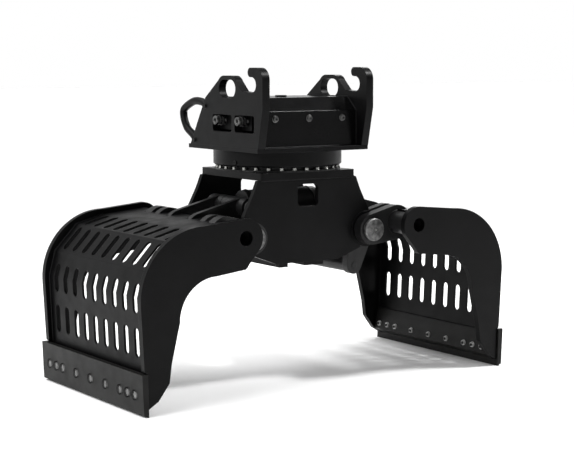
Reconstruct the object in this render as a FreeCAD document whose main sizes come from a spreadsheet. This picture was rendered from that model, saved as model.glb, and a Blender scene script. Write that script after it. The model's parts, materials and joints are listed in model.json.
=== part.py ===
import FreeCAD, Part
import math
import os

import Sketcher

# Rotating sorting grapple, modelled in the pose that it stands in: fully open, on its two cutting edges.
# The origin lies on the floor under the slewing axis. X is the opening direction, Y runs along the pins,
# Z is up. The left shell is at -X, and the front is at -Y.

# Driving dimensions in millimetres and degrees
SIZES = {
    # Shell hinges and torsion tubes
    "pivot_x": 347,  # slewing axis to shell pivot
    "pivot_z": 723,  # height of the shell pivots
    "pin_radius": 45,  # shell hinge pin
    "pin_head_radius": 56,  # shell hinge pin head
    "pin_head_thickness": 20,  # shell hinge pin head
    "running_gap": 0.1,  # radial clearance of pins in their bores
    "side_gap": 2,  # side clearance between hinge faces
    "tube_dx": 151,  # pivot to torsion tube, across
    "tube_dz": 28,  # pivot to torsion tube, up
    "tube_radius": 55,  # torsion tube
    "tube_bore": 34,  # torsion tube bore radius
    "lug_thickness": 40,  # hinge lug plate
    "outer_lug_thickness": 52,  # outer hinge lug plate
    "lug_pivot_radius": 75,  # hinge lug round the pivot
    "lug_tube_radius": 85,  # hinge lug and lever round the torsion tube
    # Shells
    "blade_proud": 10,  # cutting edge beyond a shell side plate
    "shell_plate": 30,  # shell side plate thickness
    "arm_radius": 90,  # end of the side plate round the torsion tube
    "sheet_thickness": 10,  # back sheet
    "sheet_inset": 25,  # back sheet below the edge of the side plates
    "back_in": 289.5,  # cutting edge to the centre of the shell's back bend
    "back_drop": 223,  # pivot down to the centre of the shell's back bend
    "back_radius": 320,  # outer radius of the shell's back bend
    "slot_width": 40,  # sieve slot width
    "slot_length": 132,  # sieve slot length
    "slot_edge": 72,  # middle of an end slot to the side plate
    "slot_count": 9,  # sieve slots in a row
    "notch_length": 71,  # back sheet's notches for the lugs and levers, past the tube's centre
    "seat_gap": 0.3,  # gap between a sheet and the tube that it lies on
    "plate_step": 10,  # side plate edge proud of the cutting edge's seat
    "side_toe_z": 30,  # side plate, lowest point
    "arm_end_angle": 214.6,  # end of the arm's round, from the horizontal
    "chin_in": 12,  # torsion tube to the first corner under the arm
    "chin_drop": 95,  # pivot down to the first corner under the arm
    "arm_chin_round": 18,  # underside of the arm, corner
    "throat_in": 354.5,  # cutting edge to the centre of the throat
    "throat_drop": 321,  # pivot down to the centre of the throat
    "throat_radius": 190,  # throat of the shell
    "heel_in": 121.5,  # cutting edge to the inner edge of the side plate
    "heel_z": 225,  # inner edge of the side plate, up
    "heel_lean": 12,  # inner edge of the side plate, run outward
    "ankle_z": 138,  # inner edge of the side plate, lower corner
    "toe_in": 53.5,  # cutting edge to the toe of the side plate
    "toe_z": 63,  # toe of the side plate, up
    "bend_high": 60,  # upper bend of the back sheet, angle
    "bend_middle": 27,  # middle bend of the back sheet, angle
    "bend_low": 3,  # lower bend of the back sheet, angle
    "sheet_in": 9.5,  # cutting edge to the lower end of the back sheet
    "third_row_share": 0.27,  # place of the third slot row down the back
    "fourth_row_share": 0.59,  # place of the fourth slot row down the lower flat
    # Cutting edges
    "blade_width": 1000,  # cutting edge width
    "blade_height": 190,  # cutting edge height
    "blade_tip_x": 1009.5,  # slewing axis to cutting edge
    "blade_thickness": 28,  # cutting edge thickness
    "blade_lean": 4.5,  # outward lean of the cutting edge's inner face over its height
    "blade_bevel": 10,  # bevel height at the cutting edge
    "blade_bolt_z": 92,  # blade bolt height
    "blade_bolt_radius": 8,  # blade bolt shank
    "blade_bolt_head": 19,  # blade bolt countersunk head radius
    "holder_thickness": 24,  # blade holder bar thickness
    "holder_slope": 26,  # blade holder bar thicker at its foot
    "holder_low": 34,  # blade holder bar lower edge
    "holder_toe": 30,  # blade holder bar, rise of its lower face
    "spot_margin": 3,  # spot face beyond the corners of a blade nut
    "holder_drop": 15,  # blade holder bar below the top of the cutting edge
    "blade_taper": 3.5,  # cutting edge thinner at its foot
    "bolt_mid": 145,  # middle to the next blade bolt
    "bolt_group_in": 146,  # end of the cutting edge to the centre of a blade bolt group
    "bolt_step": 69,  # blade bolt spacing in a group
    "bolt_head_depth": 8,  # blade bolt head depth
    "bolt_end": 3,  # blade bolt end beyond its nut
    "nut_height": 13,  # blade nut height
    "nut_corner": 14,  # blade nut corner radius
    # Lower frame
    "frame_half_width": 262,  # middle to outer face of a frame side plate
    "frame_plate": 25,  # frame side plate thickness
    "frame_boss_radius": 88,  # frame side plate round the pivot
    "frame_boss_proud": 4,  # frame boss ring above the side plate
    "bush_wall": 12,  # hinge bush wall
    "top_half_x": 270.8,  # frame top plate, half length
    "top_half_y": 269.5,  # frame top plate, half width
    "frame_height": 296,  # pivot to the upper face of the frame top plate
    "top_thickness": 35,  # frame top plate thickness
    "window_half_width": 60,  # side plate window
    "window_foot": 167,  # side plate window, lower edge below the top plate
    "window_head": 60,  # side plate window, upper edge below the top plate
    "top_round": 10,  # frame top plate corner radius
    "frame_overhang": 14,  # frame side plate beyond the top plate
    "neck_out": 39.2,  # frame side plate neck beyond the top plate
    "neck_drop": 97,  # frame side plate neck below the top plate
    "shoulder_out": 18,  # frame side plate shoulder beyond the pivot
    "shoulder_rise": 94,  # frame side plate shoulder above the pivot
    "haunch_in": 37,  # frame side plate lower corner inside the pivot
    "haunch_drop": 91,  # frame side plate lower corner below the pivot
    "belly_in": 167,  # frame side plate bottom edge inside the pivot
    "belly_drop": 138,  # frame side plate bottom edge below the pivot
    "window_round": 24,  # side plate window corner radius
    "belly_left": -165,  # belly plate, left edge
    "belly_right": 90,  # belly plate, right edge
    "belly_plate": 12,  # belly plate thickness
    "bar_height": 18,  # cross bar height
    "left_bar_width": 48,  # left cross bar width
    "right_bar_width": 108,  # right cross bar width
    # Cylinder and its levers
    "lever_radius": 151,  # pivot to cylinder pin
    "lever_angle": 57.2,  # cylinder lever above the horizontal
    "lever_inner": 80,  # middle to inner face of a lever plate
    "lever_plate": 30,  # lever plate thickness
    "lever_boss_radius": 46,  # lever boss round the cylinder pin
    "lever_boss_half": 160,  # half length of the lever cross boss
    "cylinder_pin_radius": 25,  # cylinder pin
    "barrel_radius": 70,  # cylinder barrel, outside
    "barrel_bore": 56,  # cylinder bore radius
    "barrel_start": 57,  # cylinder pin to the end of the barrel
    "rod_clear": 57.4,  # open end of the cylinder to its rod pin, retracted
    "cap_thickness": 24,  # barrel end cap
    "gland_thickness": 36,  # rod gland
    "rod_radius": 35,  # cylinder rod
    "piston_length": 34,  # piston
    "eye_half_width": 35,  # half width of the cylinder's eyes
    "eye_radius": 45,  # cylinder eye
    # Synchronising link
    "link_radius": 60,  # pivot to link pin
    "link_angle": 31.5,  # link levers from the horizontal
    "link_pin_radius": 18,  # link pin
    "link_eye_radius": 36,  # link eye
    "link_half_height": 18,  # link bar, half height
    "link_near": 162,  # middle to the link's outer face
    "link_far": 122,  # middle to the link's inner face
    "link_float": 2,  # extra radial clearance at the link's floating eye
    # Lower cross tube of the right shell
    "cross_dx": -47,  # pivot to lower cross tube, across
    "cross_dz": -183,  # pivot to lower cross tube, up
    "cross_radius": 36,  # lower cross tube
    "cross_lug_radius": 43,  # lug arm round the lower cross tube
    "pin_chamfer": 5,  # hinge pin head chamfer
    "cylinder_pin_cap": 8,  # cylinder pin end cap
    "cross_pin_radius": 16,  # pin of the lower cross tube
    "eye_neck_step": 5,  # cylinder eye neck below the eye
    "port_boss_sink": 4,  # cylinder port boss in the barrel wall
    "port_boss_height": 22,  # cylinder port boss height
    "port_boss_radius": 14,  # cylinder port boss
    "shaft_fit": 0.3,  # clearance of the piston and rod
    "piston_rest": 3,  # piston to end cap when retracted
    "cheek_gap": 4,  # link to link cheek
    "cheek_plate": 16,  # link cheek plate
    "link_pin_head": 26,  # link pin head
    "link_pin_head_thickness": 6,  # link pin head thickness
    # Rotator
    "base_overhang": 5,  # adapter base plate beyond the rotator housing
    "drum_wall": 10,  # rotator housing wall
    "drum_gap": 24,  # frame top plate to the rotator housing
    "drum_height": 73,  # rotator housing height
    "ring_flange_in": 6,  # slewing ring flange inside the rotator housing
    "ring_flange_thickness": 8,  # slewing ring flange
    "ring_in": 34,  # slewing ring inside the rotator housing
    "ring_height": 65,  # slewing ring height
    "pitch_in": 74,  # pitch circle of the slewing ring inside the rotator housing
    "ring_teeth": 60,  # slewing ring teeth
    "pinion_teeth": 12,  # slewing pinion teeth
    "ring_bolt_in": 18,  # slewing ring bolt circle inside the rotator housing
    "ring_bolt_count": 30,  # slewing ring bolts
    "ring_bolt_head": 10.5,  # slewing ring bolt head, corner radius
    "ring_bolt_height": 12,  # slewing ring bolt head height
    "drum_chamfer": 5,  # rotator housing lower chamfer
    "drum_lid": 12,  # rotator housing lid thickness
    "bearing_gap": 3,  # slewing bearing gap
    "bearing_rise": 31,  # frame top plate to the slewing bearing outer ring
    "plug_turn": 16.3,  # rotator plug, angle round the housing from -X
    "plug_rise": 43,  # rotator plug above the frame top plate
    "plug_radius": 10,  # rotator plug
    "plug_height": 6,  # rotator plug head
    "plug_socket": 5.8,  # rotator plug hexagon socket, corner radius
    "tooth_clearance": 1,  # gear tooth tip and root clearance
    "gap_mouth": 9.5,  # half width of a ring tooth gap at its mouth
    "gap_root": 4.1,  # half width of a ring tooth gap at its root
    "tooth_root": 7.7,  # half width of a pinion tooth at its root
    "tooth_tip": 2.8,  # half width of a pinion tooth at its tip
    "shaft_radius": 20,  # slewing motor shaft
    "shaft_gap": 2,  # clearance round the slewing motor shaft
    "motor_radius": 45,  # slewing motor
    "motor_flange": 16,  # slewing motor flange
    "motor_height": 95,  # slewing motor body
    "swivel_radius": 40,  # rotary union stem
    "swivel_head": 50,  # rotary union stem above the base plate
    "union_gap": 0.3,  # rotary union clearance
    "union_wall": 21,  # rotary union housing wall
    "union_flange": 20,  # rotary union flange
    # Upper adapter
    "base_half_x": 319,  # adapter base plate, half length
    "base_half_y": 311,  # adapter base plate, half width
    "base_thickness": 20,  # adapter base plate thickness
    "hook_plate": 40,  # adapter side plate thickness
    "hook_y": -260,  # front coupler hook, centre
    "hook_drop": 80,  # top of the front hook down to the hook centre
    "hook_radius": 36,  # front coupler hook
    "eye_y": -46,  # rear coupler eye, centre
    "eye_drop": 21,  # hook centre down to the rear coupler eye
    "eye_bore": 43,  # rear coupler eye, end radius
    "eye_float": 30,  # rear coupler eye, half distance between its end centres
    "eye_wall": 19,  # metal over the rear coupler eye
    "box_plate": 15,  # cross box plate thickness
    "box_front_y": -270,  # cross box front face
    "ridge_rise": 170,  # cross box front edge above the base plate
    "box_height": 233,  # cross box top face above the base plate
    "box_bolt_rise": 136,  # cross box bolts above the base plate
    "box_bolt_pitch": 194,  # cross box bolt spacing
    "port_rise": 124,  # hydraulic ports above the base plate
    "port_radius": 20,  # hydraulic port fitting
    "port_bore": 9.5,  # hydraulic port bore radius
    "port_depth": 25,  # hydraulic port bore depth
    "bow_radius": 19,  # hose guard bar radius
    "foot_rear_y": 294,  # adapter side plate, rear foot
    "foot_front_y": -313,  # adapter side plate, front foot
    "rear_shoulder_y": 153,  # adapter side plate, rear shoulder
    "rear_shoulder_rise": 229,  # adapter side plate, rear shoulder above the base plate
    "front_y": -352,  # adapter side plate, front edge
    "front_shoulder_rise": 184,  # adapter side plate, front shoulder above the base plate
    "adapter_height": 376,  # top of the front hook above the base plate
    "lip_y": -226,  # tip of the front hook
    "brow_round": 60,  # rounding of the front hook's front corner
    "saddle_y": -178,  # foot of the eye's head, beside the hook
    "saddle_drop": 31,  # hook centre down to the foot of the eye's head
    "box_rear_y": 262,  # cross box foot, rear
    "box_top_rear_y": 125,  # cross box top face, rear edge
    "box_top_front_y": -200,  # cross box top face, front edge
    "box_bolt_radius": 8,  # cross box bolt shank
    "box_bolt_head": 14,  # cross box bolt head
    "box_bolt_height": 10,  # cross box bolt head height
    "cap_x": -20,  # cross box cap, across
    "cap_y": -60,  # cross box cap, along
    "cap_radius": 28,  # cross box cap
    "cap_height": 8,  # cross box cap height
    "rear_port_y": 40,  # rear hydraulic port
    "front_port_y": -155,  # front hydraulic port
    "port_collar": 25,  # hydraulic port collar
    "port_collar_length": 22,  # hydraulic port collar length
    "port_proud": 16,  # hydraulic port beyond the side plate
    "port_block_depth": 40,  # hydraulic port block depth
    "port_block_margin": 45,  # hydraulic port block beyond the ports
    "port_block_half": 46,  # hydraulic port block half height
    "port_window_front": 113,  # port window in front of its port
    "port_window_rear": 31,  # port window behind its port
    "port_window_drop": 41,  # port window lower corner centre below the port
    "port_window_rise": 16,  # port window upper corner centre above the port
    "port_window_round": 12,  # port window corner radius
    "guard_bolt_head": 11,  # hose guard bolt head
    "guard_bolt_height": 8,  # hose guard bolt head height
    "guard_bolt_inset": 20,  # hose guard bolts from the plate's edge
    "bow_high": 44,  # hose guard bow, upper foot down the plate's rear edge
    "bow_high_out": 28,  # hose guard bow, upper foot's length
    "bow_knee": 80,  # hose guard bow, knee down the edge
    "bow_knee_out": 98,  # hose guard bow, knee out from the edge
    "bow_crest": 122,  # hose guard bow, crest down the edge
    "bow_crest_out": 134,  # hose guard bow, crest out from the edge
    "bow_back": 162,  # hose guard bow, back down the edge
    "bow_back_out": 161,  # hose guard bow, back out from the edge
    "bow_tail": 187,  # hose guard bow, tail down the edge
    "bow_tail_out": 169,  # hose guard bow, tail out from the edge
    "bow_heel": 219,  # hose guard bow, heel down the edge
    "bow_heel_out": 141,  # hose guard bow, heel out from the edge
    "bow_low": 242,  # hose guard bow, lower bend down the edge
    "bow_low_out": 90,  # hose guard bow, lower bend out from the edge
    "bow_foot": 236,  # hose guard bow, lower foot down the edge
    "bow_foot_out": 37,  # hose guard bow, lower foot's length
}

doc = FreeCAD.newDocument("SortingGrapple")
sheet = doc.addObject("Spreadsheet::Sheet", "Size")


class Length:
    """A size with its value and the spreadsheet formula that gives it."""

    def __init__(self, value, formula):
        self.value = float(value)
        self.formula = formula

    def __add__(self, other):
        other = length(other)
        return Length(self.value + other.value, f"({self.formula} + {other.formula})")

    def __sub__(self, other):
        other = length(other)
        return Length(self.value - other.value, f"({self.formula} - {other.formula})")

    def __mul__(self, other):
        other = length(other)
        return Length(self.value * other.value, f"({self.formula} * {other.formula})")

    def __truediv__(self, other):
        other = length(other)
        return Length(self.value / other.value, f"({self.formula} / {other.formula})")

    def __neg__(self):
        return length(-1) * self

    def __radd__(self, other):
        return length(other) + self

    def __rsub__(self, other):
        return length(other) - self

    def __rmul__(self, other):
        return length(other) * self


def length(size):
    """Turns a plain number into a Length and leaves a Length as it is."""
    return size if isinstance(size, Length) else Length(size, repr(float(size)))


def cosine(degrees):
    degrees = length(degrees)
    return Length(math.cos(math.radians(degrees.value)), f"cos({degrees.formula})")


def sine(degrees):
    degrees = length(degrees)
    return Length(math.sin(math.radians(degrees.value)), f"sin({degrees.formula})")


class Sizes:
    """The driving dimensions by name, each bound to its own spreadsheet cell."""

    def __init__(self, table):
        for row, (alias, value) in enumerate(table.items(), 1):
            sheet.set(f"A{row}", alias)
            sheet.set(f"B{row}", str(value))
            sheet.setAlias(f"B{row}", alias)
            setattr(self, alias, Length(value, f"Size.{alias}"))


s = Sizes(SIZES)
doc.recompute()


def bind(item, prop, size):
    """Binds a property to the spreadsheet formula of a size."""
    item.setExpression(prop, length(size).formula)


def new_body(label):
    body = doc.addObject("PartDesign::Body", label)
    body.Label = label
    return body


def origin_part(body, role):
    return next(part for part in body.Origin.OriginFeatures if part.Role == role)


def new_sketch(body, role, offset=0):
    """A sketch on an origin plane of its body, set off along the plane's normal."""
    sketch = body.newObject("Sketcher::SketchObject", body.Name + "_sketch")
    sketch.AttachmentSupport = (origin_part(body, role), [""])
    sketch.MapMode = "FlatFace"
    bind(sketch, "AttachmentOffset.Base.z", offset)
    return sketch


def pin_point(sketch, geometry, position, point):
    """Holds one point of a sketch at its two distances from the sketch's origin."""
    for kind, size in zip(("DistanceX", "DistanceY"), point):
        size = length(size)
        number = sketch.addConstraint(Sketcher.Constraint(kind, -1, 1, geometry, position, size.value))
        bind(sketch, f"Constraints[{number}]", size)


def vector(point):
    return FreeCAD.Vector(length(point[0]).value, length(point[1]).value, 0)


def arc_between(start, end, radius, turn):
    """The arc under half a circle from start to end. It turns left when turn is 1, right when -1."""
    chord = end - start
    middle = (start + end) / 2
    rise = math.sqrt(max(radius ** 2 - (chord.Length / 2) ** 2, 0.0))
    left = FreeCAD.Vector(-chord.y, chord.x, 0) / chord.Length
    centre = middle + left * rise * turn
    bulge = middle - left * (radius - rise) * turn
    return Part.Arc(start, bulge, end), centre


def outline(sketch, path):
    """Draws a closed outline. Each item is a point, or a point with the radius and turn of its arc."""
    corners = [item[:2] for item in path]
    first = sketch.GeometryCount
    for index, item in enumerate(path):
        start = corners[index - 1]
        if len(item) == 2:
            number = sketch.addGeometry(Part.LineSegment(vector(start), vector(item)), False)
        else:
            radius = length(item[2])
            arc, centre = arc_between(vector(start), vector(item), radius.value, item[3])
            number = sketch.addGeometry(arc, False)
            rule = sketch.addConstraint(Sketcher.Constraint("Radius", number, radius.value))
            bind(sketch, f"Constraints[{rule}]", radius)
    for index, item in enumerate(path):
        turn = item[3] if len(item) > 2 else 1
        position = 2 if turn == 1 else 1
        pin_point(sketch, first + index, position, item[:2])
        following = path[(index + 1) % len(path)]
        following_turn = following[3] if len(following) > 2 else 1
        start = 1 if following_turn == 1 else 2
        after = first + (index + 1) % len(path)
        sketch.addConstraint(Sketcher.Constraint("Coincident", first + index, position, after, start))


def rectangle(sketch, left, low, right, high):
    outline(sketch, [(left, low), (right, low), (right, high), (left, high)])


def circle(sketch, centre, radius):
    radius = length(radius)
    number = sketch.addGeometry(Part.Circle(vector(centre), FreeCAD.Vector(0, 0, 1), radius.value), False)
    pin_point(sketch, number, 3, centre)
    rule = sketch.addConstraint(Sketcher.Constraint("Radius", number, radius.value))
    bind(sketch, f"Constraints[{rule}]", radius)


def hull(sketch, discs):
    """Draws arcs round the discs, taken anticlockwise, with straight tangents between them."""
    centres = [vector(disc[:2]) for disc in discs]
    radii = [length(disc[2]) for disc in discs]
    count = len(discs)
    tangents = []
    for index in range(count):
        after = (index + 1) % count
        step = centres[after] - centres[index]
        heading = math.atan2(step.y, step.x)
        lean = math.acos((radii[index].value - radii[after].value) / step.Length)
        side = heading - lean
        normal = FreeCAD.Vector(math.cos(side), math.sin(side), 0)
        tangents.append((centres[index] + normal * radii[index].value,
                         centres[after] + normal * radii[after].value, side))
    arcs = []
    for index in range(count):
        before = tangents[index - 1][2]
        after = tangents[index][2]
        while after < before:
            after += 2 * math.pi
        disc = Part.Circle(centres[index], FreeCAD.Vector(0, 0, 1), radii[index].value)
        arcs.append(sketch.addGeometry(Part.ArcOfCircle(disc, before, after), False))
        pin_point(sketch, arcs[-1], 3, discs[index][:2])
        rule = sketch.addConstraint(Sketcher.Constraint("Radius", arcs[-1], radii[index].value))
        bind(sketch, f"Constraints[{rule}]", radii[index])
    for index in range(count):
        line = sketch.addGeometry(Part.LineSegment(tangents[index][0], tangents[index][1]), False)
        sketch.addConstraint(Sketcher.Constraint("Tangent", arcs[index], 2, line, 1))
        sketch.addConstraint(Sketcher.Constraint("Tangent", line, 2, arcs[(index + 1) % count], 1))


def pad(body, sketch, size, reverse=False):
    feature = body.newObject("PartDesign::Pad", body.Name + "_pad")
    feature.Profile = sketch
    feature.Reversed = reverse
    bind(feature, "Length", size)
    doc.recompute()
    return feature


def cut(body, sketch, size, reverse=False):
    """Cuts a sketch out of its body to a depth and tests that something went."""
    before = body.Shape.Volume
    feature = body.newObject("PartDesign::Pocket", body.Name + "_cut")
    feature.Profile = sketch
    feature.Reversed = reverse
    bind(feature, "Length", size)
    doc.recompute()
    if body.Shape.Volume >= before:
        raise ValueError("a cut in " + body.Label + " removes nothing")
    return feature


def revolve(body, sketch, axis):
    feature = body.newObject("PartDesign::Revolution", body.Name + "_turned")
    feature.Profile = sketch
    feature.ReferenceAxis = (sketch, [axis])
    feature.Angle = 360
    doc.recompute()
    return feature


def place(item, x, y, z):
    for prop, size in zip("xyz", (x, y, z)):
        bind(item, f"Placement.Base.{prop}", size)


def y_plate(body, low, high, draw):
    """Pads what draw puts in a sketch between two distances along Y."""
    sketch = new_sketch(body, "XZ_Plane", -length(high))
    draw(sketch)
    return pad(body, sketch, length(high) - low)


def y_cut(body, low, high, draw):
    sketch = new_sketch(body, "XZ_Plane", -length(high))
    draw(sketch)
    return cut(body, sketch, length(high) - low, reverse=True)


def x_plate(body, low, high, draw):
    sketch = new_sketch(body, "YZ_Plane", low)
    draw(sketch)
    return pad(body, sketch, length(high) - low)


def x_cut(body, low, high, draw):
    sketch = new_sketch(body, "YZ_Plane", low)
    draw(sketch)
    return cut(body, sketch, length(high) - low, reverse=True)


def z_plate(body, low, high, draw):
    sketch = new_sketch(body, "XY_Plane", low)
    draw(sketch)
    return pad(body, sketch, length(high) - low)


def z_cut(body, low, high, draw):
    sketch = new_sketch(body, "XY_Plane", low)
    draw(sketch)
    return cut(body, sketch, length(high) - low, reverse=True)


def turned_y(body, steps):
    """Turns a shaft about Y. Each step gives a radius and the two distances that it runs between."""
    sketch = new_sketch(body, "XY_Plane")
    path = [(0, steps[0][1])]
    for radius, low, high in steps:
        path += [(radius, low), (radius, high)]
    path.append((0, steps[-1][2]))
    outline(sketch, path)
    return revolve(body, sketch, "V_Axis")


def turned_z(body, path):
    """Turns a closed half profile about Z."""
    sketch = new_sketch(body, "XZ_Plane")
    outline(sketch, path)
    return revolve(body, sketch, "V_Axis")


def mirrored(path, side):
    """Mirrors an outline across the slewing axis when side is -1."""
    turned = []
    for item in path:
        point = (side * length(item[0]), item[1])
        turned.append(point + (item[2], item[3] * side) if len(item) > 2 else point)
    return turned


def polar(body, feature, axis_role, count):
    pattern = body.newObject("PartDesign::PolarPattern", body.Name + "_ring")
    pattern.Originals = [feature]
    pattern.Axis = (origin_part(body, axis_role), [""])
    pattern.Angle = 360
    bind(pattern, "Occurrences", count)
    body.Tip = pattern
    doc.recompute()
    return pattern


def between(side, near, far):
    """The two distances along an axis, lowest first, of a plate that lies near to far out on one side."""
    near = length(near)
    far = length(far)
    return (near, far) if side > 0 else (-far, -near)


SIDES = (("left", -1), ("right", 1))
ENDS = (("front", -1), ("rear", 1))

# Heights that stack up from the pivots
top_z = s.pivot_z + s.frame_height
drum_low = top_z + s.drum_gap
drum_top = drum_low + s.drum_height
base_top = drum_top + s.base_thickness
ring_top = top_z + s.ring_height
ring_flange_top = top_z + s.ring_flange_thickness
bearing_low = top_z + s.bearing_rise
plug_z = top_z + s.plug_rise
hook_top_z = base_top + s.adapter_height
hook_z = hook_top_z - s.hook_drop
eye_z = hook_z - s.eye_drop
saddle_z = hook_z - s.saddle_drop
box_ridge_z = base_top + s.ridge_rise
box_top_z = base_top + s.box_height
box_bolt_z = base_top + s.box_bolt_rise
port_z = base_top + s.port_rise
port_window_low = port_z - s.port_window_drop
port_window_high = port_z + s.port_window_rise
rear_shoulder_z = base_top + s.rear_shoulder_rise
front_shoulder_z = base_top + s.front_shoulder_rise

# Corners of the frame's side plates
window_low = top_z - s.window_foot
window_high = top_z - s.window_head
neck_x = s.top_half_x + s.neck_out
neck_z = top_z - s.neck_drop
shoulder_x = s.pivot_x + s.shoulder_out
shoulder_z = s.pivot_z + s.shoulder_rise
haunch_x = s.pivot_x - s.haunch_in
haunch_z = s.pivot_z - s.haunch_drop
belly_half = s.pivot_x - s.belly_in
belly_z = s.pivot_z - s.belly_drop

# Shells, from their pivots above and their cutting edges below
tube_x = s.pivot_x + s.tube_dx
tube_z = s.pivot_z + s.tube_dz
back_x = s.blade_tip_x - s.back_in
back_z = s.pivot_z - s.back_drop
throat_x = s.blade_tip_x - s.throat_in
throat_z = s.pivot_z - s.throat_drop
chin_x = tube_x - s.chin_in
chin_z = s.pivot_z - s.chin_drop
heel_x = s.blade_tip_x - s.heel_in
toe_x = s.blade_tip_x - s.toe_in
sheet_low_x = s.blade_tip_x - s.sheet_in
holder_top = s.blade_height - s.holder_drop
bolt_group = s.blade_width / 2 - s.bolt_group_in
shell_half_width = s.blade_width / 2 - s.blade_proud
shell_inner = shell_half_width - s.shell_plate
slot_pitch = (shell_inner - s.slot_edge) * 2 / (s.slot_count - 1)

# Pins and the plates that they run through
cylinder_x = s.pivot_x - s.lever_radius * cosine(s.lever_angle)
cylinder_z = s.pivot_z + s.lever_radius * sine(s.lever_angle)
link_dx = s.link_radius * cosine(s.link_angle)
link_dz = s.link_radius * sine(s.link_angle)
link_left = (-s.pivot_x - link_dx, s.pivot_z + link_dz)
link_right = (s.pivot_x - link_dx, s.pivot_z - link_dz)
cross_x = s.pivot_x + s.cross_dx
cross_z = s.pivot_z + s.cross_dz
frame_inner = s.frame_half_width - s.frame_plate
boss_inner = frame_inner - s.frame_boss_proud
boss_outer = s.frame_half_width + s.frame_boss_proud
inner_lug_far = boss_inner - s.side_gap
inner_lug_near = inner_lug_far - s.lug_thickness
outer_lug_near = boss_outer + s.side_gap
outer_lug_far = outer_lug_near + s.outer_lug_thickness
cheek_near = s.link_near + s.cheek_gap
cheek_far = cheek_near + s.cheek_plate
pin_hole = s.pin_radius + s.running_gap
bush_hole = pin_hole + s.bush_wall
tube_hole = s.tube_radius + s.running_gap

# Rotator, inward from the adapter's base plate
drum_radius = s.base_half_x - s.base_overhang
ring_flange_radius = drum_radius - s.ring_flange_in
ring_bolt_circle = drum_radius - s.ring_bolt_in
ring_outer = drum_radius - s.ring_in
ring_pitch = drum_radius - s.pitch_in
gear_module = ring_pitch * 2 / s.ring_teeth
pinion_pitch = gear_module * s.pinion_teeth / 2
pinion_y = pinion_pitch - ring_pitch


def adapter_base_plate():
    body = new_body("adapter_base_plate")
    z_plate(body, drum_top, base_top,
            lambda sketch: rectangle(sketch, -s.base_half_x, -s.base_half_y, s.base_half_x, s.base_half_y))
    z_cut(body, drum_top, base_top, lambda sketch: (
        circle(sketch, (0, 0), s.swivel_radius + s.running_gap),
        circle(sketch, (0, pinion_y), s.shaft_radius + s.shaft_gap)))


def hook_outline(sketch):
    """Side view of an adapter side plate, with the hook in front and the eye's head behind it."""
    head = s.eye_bore + s.eye_wall
    hook_low = hook_z - s.hook_radius
    hook_high = hook_z + s.hook_radius
    head_rear = s.eye_y + s.eye_float
    head_front = s.eye_y - s.eye_float
    nose = (hook_top_z - hook_high) / 2
    outline(sketch, [
        (s.foot_rear_y, base_top),
        (s.rear_shoulder_y, rear_shoulder_z),
        (head_rear + head * cosine(40), eye_z + head * sine(40)),
        (head_rear, eye_z + head, head, 1),
        (head_front, eye_z + head),
        (head_front - head * cosine(35), eye_z + head * sine(35), head, 1),
        (s.saddle_y, saddle_z),
        (s.hook_y, hook_low),
        (s.hook_y - s.hook_radius, hook_z, s.hook_radius, -1),
        (s.hook_y, hook_high, s.hook_radius, -1),
        (s.lip_y - nose, hook_high),
        (s.lip_y, hook_high + nose, nose, 1),
        (s.lip_y - nose, hook_top_z, nose, 1),
        (s.front_y + s.brow_round, hook_top_z),
        (s.front_y, hook_top_z - s.brow_round, s.brow_round, 1),
        (s.front_y, front_shoulder_z),
        (s.foot_front_y, base_top),
    ])


def adapter_side_plates():
    for name, side in SIDES:
        body = new_body("adapter_side_plate_" + name)
        low, high = between(side, s.base_half_x - s.hook_plate, s.base_half_x)
        x_plate(body, low, high, hook_outline)
        x_cut(body, low, high, lambda sketch: hull(sketch, [
            (s.eye_y - s.eye_float, eye_z, s.eye_bore), (s.eye_y + s.eye_float, eye_z, s.eye_bore)]))
        if side < 0:
            for port_y in (s.rear_port_y, s.front_port_y):
                x_cut(body, low, high, lambda sketch: hull(sketch, [
                    (port_y - s.port_window_front, port_window_low, s.port_window_round),
                    (port_y + s.port_window_rear, port_window_low, s.port_window_round),
                    (port_y + s.port_window_rear, port_window_high, s.port_window_round),
                    (port_y - s.port_window_front, port_window_high, s.port_window_round)]))


def adapter_cross_box():
    body = new_body("adapter_cross_box")
    half = s.base_half_x - s.hook_plate
    wall = s.box_plate
    x_plate(body, -half, half, lambda sketch: outline(sketch, [
        (s.box_rear_y, base_top), (s.box_top_rear_y, box_top_z), (s.box_top_front_y, box_top_z),
        (s.box_front_y, box_ridge_z), (s.box_front_y, base_top)]))
    x_cut(body, -half, half, lambda sketch: outline(sketch, [
        (s.box_rear_y - wall * 1.2, base_top),
        (s.box_top_rear_y - wall * 0.6, box_top_z - wall),
        (s.box_top_front_y + wall * 0.4, box_top_z - wall),
        (s.box_front_y + wall, box_ridge_z - wall * 0.4),
        (s.box_front_y + wall, base_top)]))
    y_cut(body, s.box_front_y, s.box_front_y + wall, lambda sketch: box_bolt_circles(
        sketch, s.box_bolt_radius + s.running_gap))


def box_bolt_circles(sketch, radius):
    for place_number in (-1, 0, 1):
        circle(sketch, (place_number * s.box_bolt_pitch, box_bolt_z), radius)


def cross_box_bolts():
    body = new_body("cross_box_bolts")
    y_plate(body, s.box_front_y - s.box_bolt_height, s.box_front_y,
            lambda sketch: box_bolt_circles(sketch, s.box_bolt_head))
    y_plate(body, s.box_front_y, s.box_front_y + s.box_plate * 1.5,
            lambda sketch: box_bolt_circles(sketch, s.box_bolt_radius))


def cross_box_cap():
    body = new_body("cross_box_cap")
    z_plate(body, box_top_z, box_top_z + s.cap_height, lambda sketch: circle(
        sketch, (s.cap_x, s.cap_y), s.cap_radius))


def port_block():
    body = new_body("hydraulic_port_block")
    high = s.hook_plate - s.base_half_x
    x_plate(body, high, high + s.port_block_depth, lambda sketch: rectangle(
        sketch, s.front_port_y - s.port_block_margin, port_z - s.port_block_half,
        s.rear_port_y + s.port_block_margin, port_z + s.port_block_half))


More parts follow.
